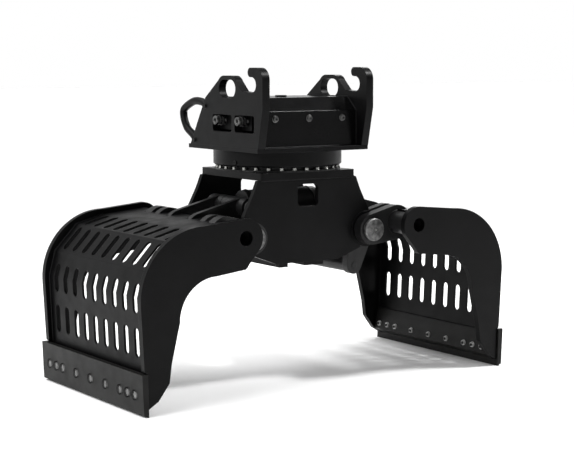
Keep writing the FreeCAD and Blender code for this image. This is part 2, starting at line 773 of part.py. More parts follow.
def port_fittings():
    body = new_body("hydraulic_port_fittings")
    inner = s.hook_plate - s.base_half_x
    outer = -s.base_half_x - s.port_proud

    def pair(sketch, radius):
        circle(sketch, (s.front_port_y, port_z), radius)
        circle(sketch, (s.rear_port_y, port_z), radius)

    x_plate(body, inner - s.port_collar_length, inner, lambda sketch: pair(sketch, s.port_collar))
    x_plate(body, outer, inner - s.port_collar_length, lambda sketch: pair(sketch, s.port_radius))
    x_cut(body, outer, outer + s.port_depth, lambda sketch: pair(sketch, s.port_bore))


def hose_guard():
    """A bow of round bar that stands square on the left side plate's rear edge."""
    body = new_body("hose_guard_bow")
    plate_middle = s.hook_plate / 2 - s.base_half_x
    edge_y = s.foot_rear_y - s.rear_shoulder_y
    edge_z = rear_shoulder_z - base_top
    run = math.hypot(edge_y.value, edge_z.value)
    run_formula = f"sqrt({edge_y.formula} ^ 2 + {edge_z.formula} ^ 2)"
    down_y = Length(edge_y.value / run, f"({edge_y.formula} / {run_formula})")
    down_z = Length(edge_z.value / run, f"({edge_z.formula} / {run_formula})")

    def edge_point(down, out):
        """A point at a distance down the plate's rear edge, set off square to that edge."""
        return (s.rear_shoulder_y + down_y * down + down_z * out,
                rear_shoulder_z - down_z * down + down_y * out)

    route = [edge_point(down, out) for down, out in (
        (s.bow_high, 0), (s.bow_high, s.bow_high_out), (s.bow_knee, s.bow_knee_out),
        (s.bow_crest, s.bow_crest_out), (s.bow_back, s.bow_back_out), (s.bow_tail, s.bow_tail_out),
        (s.bow_heel, s.bow_heel_out), (s.bow_low, s.bow_low_out), (s.bow_foot, s.bow_foot_out),
        (s.bow_foot, 0))]
    spine = new_sketch(body, "YZ_Plane", plate_middle)
    for index in range(len(route) - 1):
        spine.addGeometry(Part.LineSegment(vector(route[index]), vector(route[index + 1])), False)
        pin_point(spine, index, 1, route[index])
        pin_point(spine, index, 2, route[index + 1])
    profile = body.newObject("Sketcher::SketchObject", "hose_guard_profile")
    profile.AttachmentSupport = (origin_part(body, "XZ_Plane"), [""])
    profile.MapMode = "FlatFace"
    foot = vector(route[0])
    lean = math.degrees(math.atan2(down_y.value, down_z.value))
    profile.AttachmentOffset = FreeCAD.Placement(
        FreeCAD.Vector(plate_middle.value, foot.y, -foot.x),
        FreeCAD.Rotation(FreeCAD.Vector(1, 0, 0), lean))
    circle(profile, (0, 0), s.bow_radius)
    pipe = body.newObject("PartDesign::AdditivePipe", "hose_guard_pipe")
    pipe.Profile = profile
    pipe.Spine = spine
    pipe.Transition = "Right corner"
    doc.recompute()


def hose_guard_bolts():
    body = new_body("hose_guard_bolts")
    x_plate(body, -s.base_half_x - s.guard_bolt_height, -s.base_half_x, lambda sketch: (
        circle(sketch, (s.rear_shoulder_y, rear_shoulder_z - s.guard_bolt_inset * 2), s.guard_bolt_head),
        circle(sketch, (s.foot_rear_y - s.guard_bolt_inset * 2, base_top + s.guard_bolt_inset),
               s.guard_bolt_head)))


def rotator_housing():
    body = new_body("rotator_housing")
    chamfer = s.drum_chamfer
    inner = drum_radius - s.drum_wall
    under_lid = drum_top - s.drum_lid
    turned_z(body, [
        (s.swivel_radius + s.running_gap, under_lid), (inner, under_lid), (inner, drum_low),
        (drum_radius - chamfer, drum_low), (drum_radius, drum_low + chamfer),
        (drum_radius, drum_top), (s.swivel_radius + s.running_gap, drum_top)])
    z_cut(body, under_lid, drum_top, lambda sketch: circle(
        sketch, (0, pinion_y), s.shaft_radius + s.shaft_gap))


def bearing_outer_ring():
    body = new_body("slewing_bearing_outer_ring")
    inner = ring_outer + s.bearing_gap
    outer = drum_radius - s.drum_wall - s.running_gap
    turned_z(body, [(inner, bearing_low), (outer, bearing_low), (outer, drum_top - s.drum_lid),
                    (inner, drum_top - s.drum_lid)])


def rotator_port_plug():
    body = new_body("rotator_port_plug")
    outer = -drum_radius - s.plug_height
    x_plate(body, outer, -drum_radius, lambda sketch: circle(sketch, (0, plug_z), s.plug_radius))
    x_cut(body, outer, outer + s.plug_height / 2, lambda sketch: hexagon(
        sketch, (0, plug_z), s.plug_socket))
    turn = FreeCAD.Rotation(FreeCAD.Vector(0, 0, 1), s.plug_turn.value)
    body.Placement = FreeCAD.Placement(FreeCAD.Vector(), turn)


def slewing_ring():
    body = new_body("slewing_ring")
    tip = ring_pitch - gear_module + s.tooth_clearance
    root = ring_pitch + gear_module + s.tooth_clearance
    turned_z(body, [
        (tip, top_z), (ring_flange_radius, top_z), (ring_flange_radius, ring_flange_top),
        (ring_outer, ring_flange_top), (ring_outer, ring_top), (tip, ring_top)])
    mouth = tip - s.tooth_clearance * 2
    sketch = new_sketch(body, "XY_Plane", ring_flange_top)
    outline(sketch, [(mouth, -s.gap_mouth), (root, -s.gap_root), (root, s.gap_root), (mouth, s.gap_mouth)])
    gap = cut(body, sketch, ring_top - ring_flange_top, reverse=True)
    polar(body, gap, "Z_Axis", s.ring_teeth)


def slewing_ring_bolts():
    body = new_body("slewing_ring_bolts")
    sketch = new_sketch(body, "XY_Plane", ring_flange_top)
    hexagon(sketch, (ring_bolt_circle, 0), s.ring_bolt_head)
    head = pad(body, sketch, s.ring_bolt_height)
    polar(body, head, "Z_Axis", s.ring_bolt_count)


def hexagon(sketch, centre, corner_radius):
    outline(sketch, [
        (centre[0] + corner_radius * cosine(60 * corner), centre[1] + corner_radius * sine(60 * corner))
        for corner in range(6)])


def slewing_pinion():
    body = new_body("slewing_pinion")
    tip = pinion_pitch + gear_module - s.tooth_clearance
    root = pinion_pitch - gear_module - s.tooth_clearance
    place(body, 0, pinion_y, 0)
    low = ring_flange_top + s.shaft_gap
    z_plate(body, low, ring_top, lambda sketch: circle(sketch, (0, 0), root))
    z_plate(body, ring_top, base_top - s.shaft_gap, lambda sketch: circle(sketch, (0, 0), s.shaft_radius))
    foot = root - s.tooth_clearance * 2
    sketch = new_sketch(body, "XY_Plane", low)
    outline(sketch, [(foot, -s.tooth_root), (tip, -s.tooth_tip), (tip, s.tooth_tip), (foot, s.tooth_root)])
    tooth = pad(body, sketch, ring_top - low)
    polar(body, tooth, "Z_Axis", s.pinion_teeth)


def slewing_motor():
    body = new_body("slewing_motor")
    flange_top = base_top + s.motor_flange
    z_plate(body, base_top, flange_top, lambda sketch: rectangle(
        sketch, -s.motor_radius, pinion_y - s.motor_radius, s.motor_radius, pinion_y + s.motor_radius))
    z_plate(body, flange_top, flange_top + s.motor_height, lambda sketch: circle(
        sketch, (0, pinion_y), s.motor_radius - s.motor_flange / 2))


def rotary_union():
    stem = new_body("rotary_union_stem")
    turned_z(stem, [(0, top_z - s.top_thickness), (s.swivel_radius, top_z - s.top_thickness),
                    (s.swivel_radius, base_top + s.swivel_head), (0, base_top + s.swivel_head)])
    union = new_body("rotary_union_housing")
    inner = s.swivel_radius + s.union_gap
    outer = inner + s.union_wall
    under = top_z - s.top_thickness
    floor = under - s.union_flange
    rim = outer + s.union_flange
    stem_end = under - s.union_gap * 4
    turned_z(union, [(0, floor), (rim, floor), (rim, under), (outer, under), (outer, ring_top),
                     (inner, ring_top), (inner, stem_end), (0, stem_end)])


def frame_top_plate():
    body = new_body("frame_top_plate")
    low = top_z - s.top_thickness
    z_plate(body, low, top_z, lambda sketch: hull(sketch, [
        (-s.top_half_x + s.top_round, -s.top_half_y + s.top_round, s.top_round),
        (s.top_half_x - s.top_round, -s.top_half_y + s.top_round, s.top_round),
        (s.top_half_x - s.top_round, s.top_half_y - s.top_round, s.top_round),
        (-s.top_half_x + s.top_round, s.top_half_y - s.top_round, s.top_round)]))
    z_cut(body, low, top_z, lambda sketch: circle(
        sketch, (0, 0), s.swivel_radius + s.union_gap + s.union_wall + s.running_gap))


def frame_outline(sketch):
    right = [(belly_half, belly_z), (haunch_x, haunch_z), (shoulder_x, shoulder_z),
             (neck_x, neck_z), (s.top_half_x + s.frame_overhang, top_z - s.top_thickness)]
    outline(sketch, right + [(-point[0], point[1]) for point in reversed(right)])


def frame_side_plates():
    corner = s.window_round
    for name, side in ENDS:
        body = new_body("frame_side_plate_" + name)
        low, high = between(side, frame_inner, s.frame_half_width)
        y_plate(body, low, high, frame_outline)
        boss_low, boss_high = between(side, boss_inner, boss_outer)
        y_plate(body, boss_low, boss_high, lambda sketch: [
            circle(sketch, (x_side * s.pivot_x, s.pivot_z), s.frame_boss_radius) for _, x_side in SIDES])
        y_cut(body, boss_low, boss_high, lambda sketch: [
            circle(sketch, (x_side * s.pivot_x, s.pivot_z), bush_hole) for _, x_side in SIDES])
        y_cut(body, low, high, lambda sketch: hull(sketch, [
            (s.window_half_width - corner, window_low + corner, corner),
            (s.window_half_width - corner, window_high - corner, corner),
            (corner - s.window_half_width, window_high - corner, corner),
            (corner - s.window_half_width, window_low + corner, corner)]))


def frame_hinge_bushes():
    body = new_body("frame_hinge_bushes")
    for _, side in ENDS:
        low, high = between(side, boss_inner, boss_outer)
        y_plate(body, low, high, lambda sketch: [
            circle(sketch, (x_side * s.pivot_x, s.pivot_z), radius)
            for _, x_side in SIDES for radius in (bush_hole, pin_hole)])


def frame_belly():
    plate = new_body("frame_belly_plate")
    y_plate(plate, -frame_inner, frame_inner, lambda sketch: rectangle(
        sketch, s.belly_left, belly_z, s.belly_right, belly_z + s.belly_plate))
    bars = new_body("frame_cross_bars")
    bar_low = belly_z - s.bar_height
    y_plate(bars, -s.frame_half_width, s.frame_half_width, lambda sketch: (
        rectangle(sketch, s.belly_left, bar_low, s.belly_left + s.left_bar_width, belly_z),
        rectangle(sketch, s.belly_right - s.right_bar_width, bar_low, s.belly_right, belly_z)))


def shell_side_outline(side):
    """Side view of a shell's side plate, anticlockwise from the cutting edge for the right shell."""
    blade_face = s.blade_tip_x + s.blade_lean
    return mirrored([
        (s.blade_tip_x + s.blade_lean * s.side_toe_z / s.blade_height, s.side_toe_z),
        (blade_face, s.blade_height),
        (blade_face + s.plate_step, s.blade_height + s.plate_step),
        (back_x + s.back_radius, back_z),
        (back_x, back_z + s.back_radius, s.back_radius, 1),
        (tube_x, tube_z + s.arm_radius),
        (tube_x - s.arm_radius, tube_z, s.arm_radius, 1),
        (tube_x + s.arm_radius * cosine(s.arm_end_angle), tube_z + s.arm_radius * sine(s.arm_end_angle),
         s.arm_radius, 1),
        (chin_x, chin_z),
        (chin_x + s.arm_chin_round, chin_z - s.arm_chin_round, s.arm_chin_round * 1.6, 1),
        (throat_x, throat_z + s.throat_radius),
        (throat_x + s.throat_radius, throat_z, s.throat_radius, -1),
        (heel_x, s.heel_z),
        (heel_x + s.heel_lean, s.ankle_z),
        (toe_x, s.toe_z)], side)


def shell_side_plates(name, side):
    for end_name, end in ENDS:
        body = new_body(f"{name}_shell_side_plate_{end_name}")
        low, high = between(end, shell_inner, shell_half_width)
        y_plate(body, low, high, lambda sketch: outline(sketch, shell_side_outline(side)))
        y_cut(body, low, high, lambda sketch: circle(sketch, (side * tube_x, tube_z), s.tube_bore))


def bend_points(radius):
    """Corners of the press-braked back sheet, from the top down, at one radius from its bend centre."""
    return [(back_x + radius * cosine(angle), back_z + radius * sine(angle))
            for angle in (90, s.bend_high, s.bend_middle, s.bend_low)]


def back_sheet(name, side):
    body = new_body(name + "_shell_back_sheet")
    outer = s.back_radius - s.sheet_inset
    inner = outer - s.sheet_thickness
    top = tube_z + s.tube_radius + s.seat_gap
    path = ([(tube_x, top), (tube_x, top + s.sheet_thickness)] + bend_points(outer)
            + [(sheet_low_x, holder_top), (sheet_low_x - s.sheet_thickness, holder_top)]
            + list(reversed(bend_points(inner))))
    y_plate(body, -shell_inner, shell_inner, lambda sketch: outline(sketch, mirrored(path, side)))
    lever = (s.lever_inner, s.lever_inner + s.lever_plate)
    lugs = [lever, (inner_lug_near, inner_lug_far), (outer_lug_near, outer_lug_far)]
    notches = [between(end, near, far) for near, far in lugs for _, end in ENDS]
    notches.append(between(-1, cheek_near, cheek_far))
    left, right = between(side, tube_x - s.notch_length, tube_x + s.notch_length)
    z_cut(body, top - s.notch_length, top + s.notch_length, lambda sketch: [
        rectangle(sketch, left, low - s.running_gap, right, high + s.running_gap) for low, high in notches])
    corners = bend_points(outer) + [(sheet_low_x, holder_top)]
    rows = (
        (corners[0], corners[1], 0.5),
        (corners[1], corners[2], 0.5),
        (corners[2], corners[4], s.third_row_share.value),
        (corners[3], corners[4], s.fourth_row_share.value),
    )
    for start, end, share in rows:
        slot_row(body, side, vector(start), vector(end), share)


def slot_row(body, side, start, end, share):
    """Cuts a row of sieve slots square to the line from start to end, centred at a share of it."""
    centre = start + (end - start) * share
    slope = math.degrees(math.atan2(end.y - start.y, end.x - start.x))
    outward = FreeCAD.Vector(start.y - end.y, end.x - start.x, 0).normalize()
    clear = s.slot_width.value
    sketch = body.newObject("Sketcher::SketchObject", body.Name + "_slot")
    sketch.AttachmentSupport = (origin_part(body, "XY_Plane"), [""])
    sketch.MapMode = "FlatFace"
    sketch.AttachmentOffset = FreeCAD.Placement(
        FreeCAD.Vector(side * (centre.x + outward.x * clear), 0, centre.y + outward.y * clear),
        FreeCAD.Rotation(FreeCAD.Vector(0, 1, 0), -side * slope))
    half_run = (s.slot_length - s.slot_width) / 2
    first = (s.slot_count - 1) * slot_pitch / 2
    hull(sketch, [(-half_run, -first, s.slot_width / 2), (half_run, -first, s.slot_width / 2)])
    before = body.Shape.Volume
    slot = body.newObject("PartDesign::Pocket", body.Name + "_slot_cut")
    slot.Profile = sketch
    bind(slot, "Length", s.slot_width * 2)
    doc.recompute()
    row = body.newObject("PartDesign::LinearPattern", body.Name + "_slot_row")
    row.Originals = [slot]
    row.Direction = (origin_part(body, "Y_Axis"), [""])
    bind(row, "Length", (s.slot_count - 1) * slot_pitch)
    bind(row, "Occurrences", s.slot_count)
    body.Tip = row
    doc.recompute()
    if body.Shape.Volume >= before:
        raise ValueError("a slot row in " + body.Label + " removes nothing")


def blade_bolt_places():
    """Distances along the cutting edge: a bolt in the middle, one each side, a group near each end."""
    half = [s.bolt_mid, bolt_group - s.bolt_step, bolt_group, bolt_group + s.bolt_step]
    return [length(0)] + half + [-place_y for place_y in half]


def blade_bolt_circles(sketch, radius):
    for place_y in blade_bolt_places():
        circle(sketch, (place_y, s.blade_bolt_z), radius)


def cutting_edge(name, side):
    """The bolted blade, and the bar behind it whose sloping inner face is spot faced for the nuts."""
    inner_top = s.blade_tip_x + s.blade_lean
    head_seat = s.blade_tip_x + s.blade_thickness - s.bolt_head_depth
    holder_inner = s.blade_tip_x - s.holder_thickness
    holder_foot = s.holder_low + s.holder_toe
    fall = (holder_top - s.blade_bolt_z - s.nut_corner) / (holder_top - holder_foot)
    nut_seat = holder_inner - s.holder_slope * fall
    lean_at = s.blade_lean / s.blade_height

    blade = new_body(name + "_shell_cutting_edge")
    y_plate(blade, -s.blade_width / 2, s.blade_width / 2, lambda sketch: outline(sketch, mirrored([
        (s.blade_tip_x, 0), (s.blade_tip_x + s.blade_thickness - s.blade_taper, s.blade_bevel),
        (inner_top + s.blade_thickness, s.blade_height), (inner_top, s.blade_height)], side)))
    low, high = between(side, s.blade_tip_x - s.blade_thickness, s.blade_tip_x + s.blade_thickness * 2)
    x_cut(blade, low, high, lambda sketch: blade_bolt_circles(sketch, s.blade_bolt_radius + s.running_gap))
    low, high = between(side, head_seat, head_seat + s.blade_thickness)
    x_cut(blade, low, high, lambda sketch: blade_bolt_circles(sketch, s.blade_bolt_head + s.running_gap))

    holder = new_body(name + "_shell_blade_holder")
    y_plate(holder, -shell_inner, shell_inner, lambda sketch: outline(sketch, mirrored([
        (holder_inner - s.holder_slope, holder_foot), (s.blade_tip_x + lean_at * s.holder_low, s.holder_low),
        (s.blade_tip_x + lean_at * holder_top, holder_top), (holder_inner, holder_top)], side)))
    low, high = between(side, nut_seat - s.holder_slope, s.blade_tip_x + s.blade_thickness)
    x_cut(holder, low, high, lambda sketch: blade_bolt_circles(sketch, s.blade_bolt_radius + s.running_gap))
    low, high = between(side, nut_seat - s.holder_slope, nut_seat)
    x_cut(holder, low, high, lambda sketch: blade_bolt_circles(sketch, s.nut_corner + s.spot_margin))

    bolts = new_body(name + "_shell_blade_bolts")
    nut_outer = nut_seat - s.nut_height
    low, high = between(side, nut_outer - s.bolt_end, head_seat)
    x_plate(bolts, low, high, lambda sketch: blade_bolt_circles(sketch, s.blade_bolt_radius))
    low, high = between(side, head_seat, head_seat + s.bolt_head_depth)
    x_plate(bolts, low, high, lambda sketch: blade_bolt_circles(sketch, s.blade_bolt_head))

    nuts = new_body(name + "_shell_blade_nuts")
    low, high = between(side, nut_outer, nut_seat)
    x_plate(nuts, low, high, lambda sketch: [
        hexagon(sketch, (place_y, s.blade_bolt_z), s.nut_corner) for place_y in blade_bolt_places()])
    x_cut(nuts, low, high, lambda sketch: blade_bolt_circles(sketch, s.blade_bolt_radius + s.running_gap))


def torsion_tube(name, side):
    body = new_body(name + "_shell_torsion_tube")
    y_plate(body, -shell_inner, shell_inner, lambda sketch: [
        circle(sketch, (side * tube_x, tube_z), radius) for radius in (s.tube_radius, s.tube_bore)])


def hinge_lugs(name, side):
    """Lugs inside and outside each frame plate. The right shell's inner lugs reach down an arm."""
    body = new_body(name + "_shell_hinge_lugs")
    pivot = (side * s.pivot_x, s.pivot_z)
    tube = (side * tube_x, tube_z)
    for _, end in ENDS:
        inner = between(end, inner_lug_near, inner_lug_far)
        outer = between(end, outer_lug_near, outer_lug_far)
        for low, high in (inner, outer):
            y_plate(body, low, high, lambda sketch: hull(sketch, [
                pivot + (s.lug_pivot_radius,), tube + (s.lug_tube_radius,)]))
            if side > 0 and (low, high) == inner:
                y_plate(body, low, high, lambda sketch: hull(sketch, [
                    pivot + (s.lug_pivot_radius,), (cross_x, cross_z, s.cross_lug_radius)]))
                y_cut(body, low, high, lambda sketch: circle(
                    sketch, (cross_x, cross_z), s.cross_pin_radius + s.running_gap))
            y_cut(body, low, high, lambda sketch: (
                circle(sketch, pivot, pin_hole), circle(sketch, tube, tube_hole)))


def hinge_pins(name, side):
    body = new_body(name + "_shell_hinge_pins")
    place(body, side * s.pivot_x, 0, s.pivot_z)
    sketch = new_sketch(body, "XY_Plane")
    start = inner_lug_near - s.side_gap
    head_end = outer_lug_far + s.pin_head_thickness
    for _, end in ENDS:
        outline(sketch, [
            (0, end * start), (s.pin_radius, end * start), (s.pin_radius, end * outer_lug_far),
            (s.pin_head_radius, end * outer_lug_far), (s.pin_head_radius, end * (head_end - s.pin_chamfer)),
            (s.pin_head_radius - s.pin_chamfer, end * head_end), (0, end * head_end)])
    revolve(body, sketch, "V_Axis")


def cylinder_levers(name, side):
    """Two lever plates on the torsion tube, each with a long boss round the cylinder pin."""
    body = new_body(name + "_shell_cylinder_levers")
    tube = (side * tube_x, tube_z)
    pin = (side * cylinder_x, cylinder_z)
    link = link_right if side > 0 else link_left
    for end_name, end in ENDS:
        low, high = between(end, s.lever_inner, s.lever_inner + s.lever_plate)
        discs = [tube + (s.lug_tube_radius,), pin + (s.lever_boss_radius,)]
        if side > 0 and end_name == "front":
            discs.append(link + (s.link_eye_radius,))
        y_plate(body, low, high, lambda sketch: hull(sketch, discs))
        boss_low, boss_high = between(end, s.eye_half_width + s.side_gap, s.lever_boss_half)
        y_plate(body, boss_low, boss_high, lambda sketch: circle(sketch, pin, s.lever_boss_radius))
        y_cut(body, boss_low, boss_high, lambda sketch: circle(
            sketch, pin, s.cylinder_pin_radius + s.running_gap))
        y_cut(body, low, high, lambda sketch: circle(sketch, tube, tube_hole))
        if end_name == "front":
            y_cut(body, low, high, lambda sketch: circle(sketch, link, s.link_pin_radius + s.running_gap))


def link_cheek(name, side):
    """The outer plate that carries the link pin beside the front lever plate."""
    body = new_body(name + "_shell_link_cheek")
    tube = (side * tube_x, tube_z)
    link = link_right if side > 0 else link_left
    low, high = between(-1, cheek_near, cheek_far)
    y_plate(body, low, high, lambda sketch: hull(sketch, [
        tube + (s.lug_pivot_radius,), link + (s.link_eye_radius,)]))
    y_cut(body, low, high, lambda sketch: (
        circle(sketch, tube, tube_hole), circle(sketch, link, s.link_pin_radius + s.running_gap)))


def link_pin(name, side):
    body = new_body(name + "_shell_link_pin")
    link = link_right if side > 0 else link_left
    place(body, link[0], 0, link[1])
    turned_y(body, [(s.link_pin_head, -cheek_far - s.link_pin_head_thickness, -cheek_far),
                    (s.link_pin_radius, -cheek_far, -s.lever_inner)])


def cylinder_pin(name, side):
    body = new_body(name + "_shell_cylinder_pin")
    place(body, side * cylinder_x, 0, cylinder_z)
    end = s.lever_boss_half + s.cylinder_pin_cap
    cap = s.cylinder_pin_radius + s.cylinder_pin_cap
    turned_y(body, [(cap, -end, -s.lever_boss_half),
                    (s.cylinder_pin_radius, -s.lever_boss_half, s.lever_boss_half),
                    (cap, s.lever_boss_half, end)])


def lower_cross_tube():
    body = new_body("right_shell_lower_cross_tube")
    place(body, cross_x, 0, cross_z)
    end = inner_lug_far + s.side_gap
    turned_y(body, [(s.cross_pin_radius, -end, -inner_lug_near),
                    (s.cross_radius, -inner_lug_near, inner_lug_near),
                    (s.cross_pin_radius, inner_lug_near, end)])


def eye(body, x, z, reach):
    """A cylinder eye on its neck, bored for the cylinder pin, reaching one way along X from the pin."""
    half = s.eye_half_width
    neck = s.eye_radius - s.eye_neck_step
    left, right = (x, x + reach) if reach.value > 0 else (x + reach, x)
    y_plate(body, -half, half, lambda sketch: circle(sketch, (x, z), s.eye_radius))
    y_plate(body, -half, half, lambda sketch: rectangle(sketch, left, z - neck, right, z + neck))
    y_cut(body, -half, half, lambda sketch: circle(sketch, (x, z), s.cylinder_pin_radius + s.running_gap))


def cylinder():
    start = s.barrel_start - cylinder_x
    end = cylinder_x - s.rod_clear
    cap_end = start + s.cap_thickness
    gland_start = end - s.gland_thickness

    cap = new_body("cylinder_end_eye")
    eye(cap, -cylinder_x, cylinder_z, s.barrel_start)
    x_plate(cap, start, cap_end, lambda sketch: circle(sketch, (0, cylinder_z), s.barrel_radius))

    barrel = new_body("cylinder_barrel")
    x_plate(barrel, cap_end, gland_start, lambda sketch: [
        circle(sketch, (0, cylinder_z), radius) for radius in (s.barrel_radius, s.barrel_bore)])
    y_plate(barrel, s.barrel_bore + s.port_boss_sink, s.barrel_radius + s.port_boss_height, lambda sketch: [
        circle(sketch, (place_x, cylinder_z), s.port_boss_radius)
        for place_x in (cap_end + s.port_boss_radius * 2, gland_start - s.port_boss_radius * 2)])

    gland = new_body("cylinder_gland")
    gland_bore = s.rod_radius + s.shaft_fit
    x_plate(gland, gland_start, end, lambda sketch: [
        circle(sketch, (0, cylinder_z), radius) for radius in (s.barrel_radius, gland_bore)])

    piston_start = cap_end + s.piston_rest
    piston = new_body("cylinder_piston")
    x_plate(piston, piston_start, piston_start + s.piston_length, lambda sketch: [
        circle(sketch, (0, cylinder_z), radius) for radius in (s.barrel_bore - s.shaft_fit, s.rod_radius)])

    rod = new_body("cylinder_rod")
    x_plate(rod, piston_start, cylinder_x - s.eye_radius, lambda sketch: circle(
        sketch, (0, cylinder_z), s.rod_radius))
    eye(rod, cylinder_x, cylinder_z, -s.eye_radius)


def sync_link():
    """Bar between a pin above the left pivot and one below the right, so that the shells move alike."""
    body = new_body("sync_link")
    span = link_right[0] - link_left[0]
    drop = link_left[1] - link_right[1]
    mean = (span.value + math.hypot(span.value, drop.value)) / 2
    share = mean / math.hypot(span.value, drop.value)
    floating = (link_right[0] - span * share, link_right[1] + drop * share)
    low, high = between(-1, s.link_far, s.link_near)
    y_plate(body, low, high, lambda sketch: hull(sketch, [
        floating + (s.link_half_height,), link_right + (s.link_half_height,)]))
    y_plate(body, low, high, lambda sketch: circle(sketch, floating, s.link_eye_radius))
    y_plate(body, low, high, lambda sketch: circle(sketch, link_right, s.link_eye_radius))
    y_cut(body, low, high, lambda sketch: (
        circle(sketch, floating, s.link_pin_radius + s.link_float),
        circle(sketch, link_right, s.link_pin_radius + s.shaft_fit)))


def shell(name, side):
    shell_side_plates(name, side)
    back_sheet(name, side)
    cutting_edge(name, side)
    torsion_tube(name, side)
    hinge_lugs(name, side)
    hinge_pins(name, side)
    cylinder_levers(name, side)
    link_cheek(name, side)
    link_pin(name, side)
    cylinder_pin(name, side)


def write_parts():
    """Checks every object of the document, then writes one file for each piece."""
    doc.recompute()
    bodies = doc.findObjects("PartDesign::Body")
    faults = [item.Label for item in doc.Objects if "Invalid" in item.State or "Error" in item.State]
    faults += [body.Label for body in bodies if body.Shape.isNull() or not body.Shape.isValid()]
    if faults:
        raise ValueError("these did not build: " + ", ".join(faults))
    os.makedirs("parts", exist_ok=True)
    for body in bodies:
        body.Shape.exportStep(f"parts/{body.Label}.step")


adapter_base_plate()
adapter_side_plates()
adapter_cross_box()
cross_box_bolts()
cross_box_cap()
port_block()
port_fittings()
hose_guard()
hose_guard_bolts()
rotator_housing()
bearing_outer_ring()
rotator_port_plug()
slewing_motor()
slewing_pinion()
slewing_ring()
slewing_ring_bolts()
rotary_union()
frame_top_plate()
frame_side_plates()
frame_hinge_bushes()
frame_belly()
for shell_name, shell_side in SIDES:
    shell(shell_name, shell_side)
lower_cross_tube()
cylinder()
sync_link()
write_parts()
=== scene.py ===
import json
import math

import bmesh
import bpy
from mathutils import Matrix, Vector


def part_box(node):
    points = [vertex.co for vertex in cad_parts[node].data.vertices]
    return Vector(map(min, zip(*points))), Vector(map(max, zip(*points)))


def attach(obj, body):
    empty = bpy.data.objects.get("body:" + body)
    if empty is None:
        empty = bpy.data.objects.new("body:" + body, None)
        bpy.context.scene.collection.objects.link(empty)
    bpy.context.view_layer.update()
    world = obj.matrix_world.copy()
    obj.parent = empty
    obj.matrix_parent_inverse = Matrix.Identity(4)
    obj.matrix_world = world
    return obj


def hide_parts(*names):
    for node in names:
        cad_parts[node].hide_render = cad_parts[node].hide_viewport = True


# Looks of the rotating sorting grapple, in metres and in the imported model's frame: X is the way the shells
# open, Y runs along the pins with the front at -Y, and Z is up. Side -1 is the left shell, side 1 the right.
# End -1 is the front, end 1 the rear.

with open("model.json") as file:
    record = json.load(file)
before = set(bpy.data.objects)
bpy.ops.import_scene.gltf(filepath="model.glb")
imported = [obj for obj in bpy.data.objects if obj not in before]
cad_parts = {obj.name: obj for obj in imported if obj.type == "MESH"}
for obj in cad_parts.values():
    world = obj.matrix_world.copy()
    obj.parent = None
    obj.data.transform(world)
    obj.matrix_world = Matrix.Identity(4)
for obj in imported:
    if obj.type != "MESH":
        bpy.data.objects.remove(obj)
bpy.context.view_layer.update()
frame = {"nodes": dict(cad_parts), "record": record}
nodes = frame["nodes"]

SHELLS = (("left", -1), ("right", 1))
ENDS = (-1, 1)


def centre(node):
    low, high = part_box(node)
    return (low + high) / 2


def half_size(node):
    low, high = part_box(node)
    return (high - low) / 2


# Materials

CLOUD_RANGE = (0.35, 0.65)  # stretch of the noise over which a colour changes
GLOSS_RANGE = (0.3, 0.7)  # stretch of the noise over which a roughness changes
EDGE_SAMPLES = 6  # samples for a rounded edge


def new_material(name, colour, roughness, metallic=0.0, specular=0.5):
    """A plain shader to build on. Returns the material, its nodes and its shader."""
    material = bpy.data.materials.new(name)
    material.use_nodes = True
    tree = material.node_tree
    shader = tree.nodes["Principled BSDF"]
    shader.inputs["Base Color"].default_value = (*colour, 1)
    shader.inputs["Roughness"].default_value = roughness
    shader.inputs["Metallic"].default_value = metallic
    shader.inputs["Specular IOR Level"].default_value = specular
    return material, tree, shader


def noise(tree, scale, detail=3.0, stretch=(1, 1, 1)):
    """Noise that stays with the piece. A stretch below 1 draws it out in that direction."""
    place = tree.nodes.new("ShaderNodeTexCoord")
    mapping = tree.nodes.new("ShaderNodeMapping")
    mapping.inputs["Scale"].default_value = stretch
    texture = tree.nodes.new("ShaderNodeTexNoise")
    texture.inputs["Scale"].default_value = scale
    texture.inputs["Detail"].default_value = detail
    tree.links.new(place.outputs["Object"], mapping.inputs["Vector"])
    tree.links.new(mapping.outputs["Vector"], texture.inputs["Vector"])
    return texture.outputs["Fac"]


def map_range(tree, value, start, end, first, last):
    """A node that maps the values from start to end onto first to last."""
    spread = tree.nodes.new("ShaderNodeMapRange")
    spread.inputs["From Min"].default_value = start
    spread.inputs["From Max"].default_value = end
    spread.inputs["To Min"].default_value = first
    spread.inputs["To Max"].default_value = last
    tree.links.new(value, spread.inputs["Value"])
    return spread


def vary_colour(tree, shader, factor, dark, light):
    ramp = tree.nodes.new("ShaderNodeValToRGB")
    for element, position, colour in zip(ramp.color_ramp.elements, CLOUD_RANGE, (dark, light)):
        element.position = position
        element.color = (*colour, 1)
    tree.links.new(factor, ramp.inputs["Fac"])
    tree.links.new(ramp.outputs["Color"], shader.inputs["Base Color"])


def vary_roughness(tree, shader, factor, low, high):
    spread = map_range(tree, factor, *GLOSS_RANGE, low, high)
    tree.links.new(spread.outputs["Result"], shader.inputs["Roughness"])


def relief(tree, shader, factor, strength, depth, edge_radius=0.0):
    """Bump from a texture, over edges that shade as if they were rounded."""
    bump = tree.nodes.new("ShaderNodeBump")
    bump.inputs["Strength"].default_value = strength
    bump.inputs["Distance"].default_value = depth
    tree.links.new(factor, bump.inputs["Height"])
    if edge_radius:
        rounding = tree.nodes.new("ShaderNodeBevel")
        rounding.samples = EDGE_SAMPLES
        rounding.inputs["Radius"].default_value = edge_radius
        tree.links.new(rounding.outputs["Normal"], bump.inputs["Normal"])
    tree.links.new(bump.outputs["Normal"], shader.inputs["Normal"])


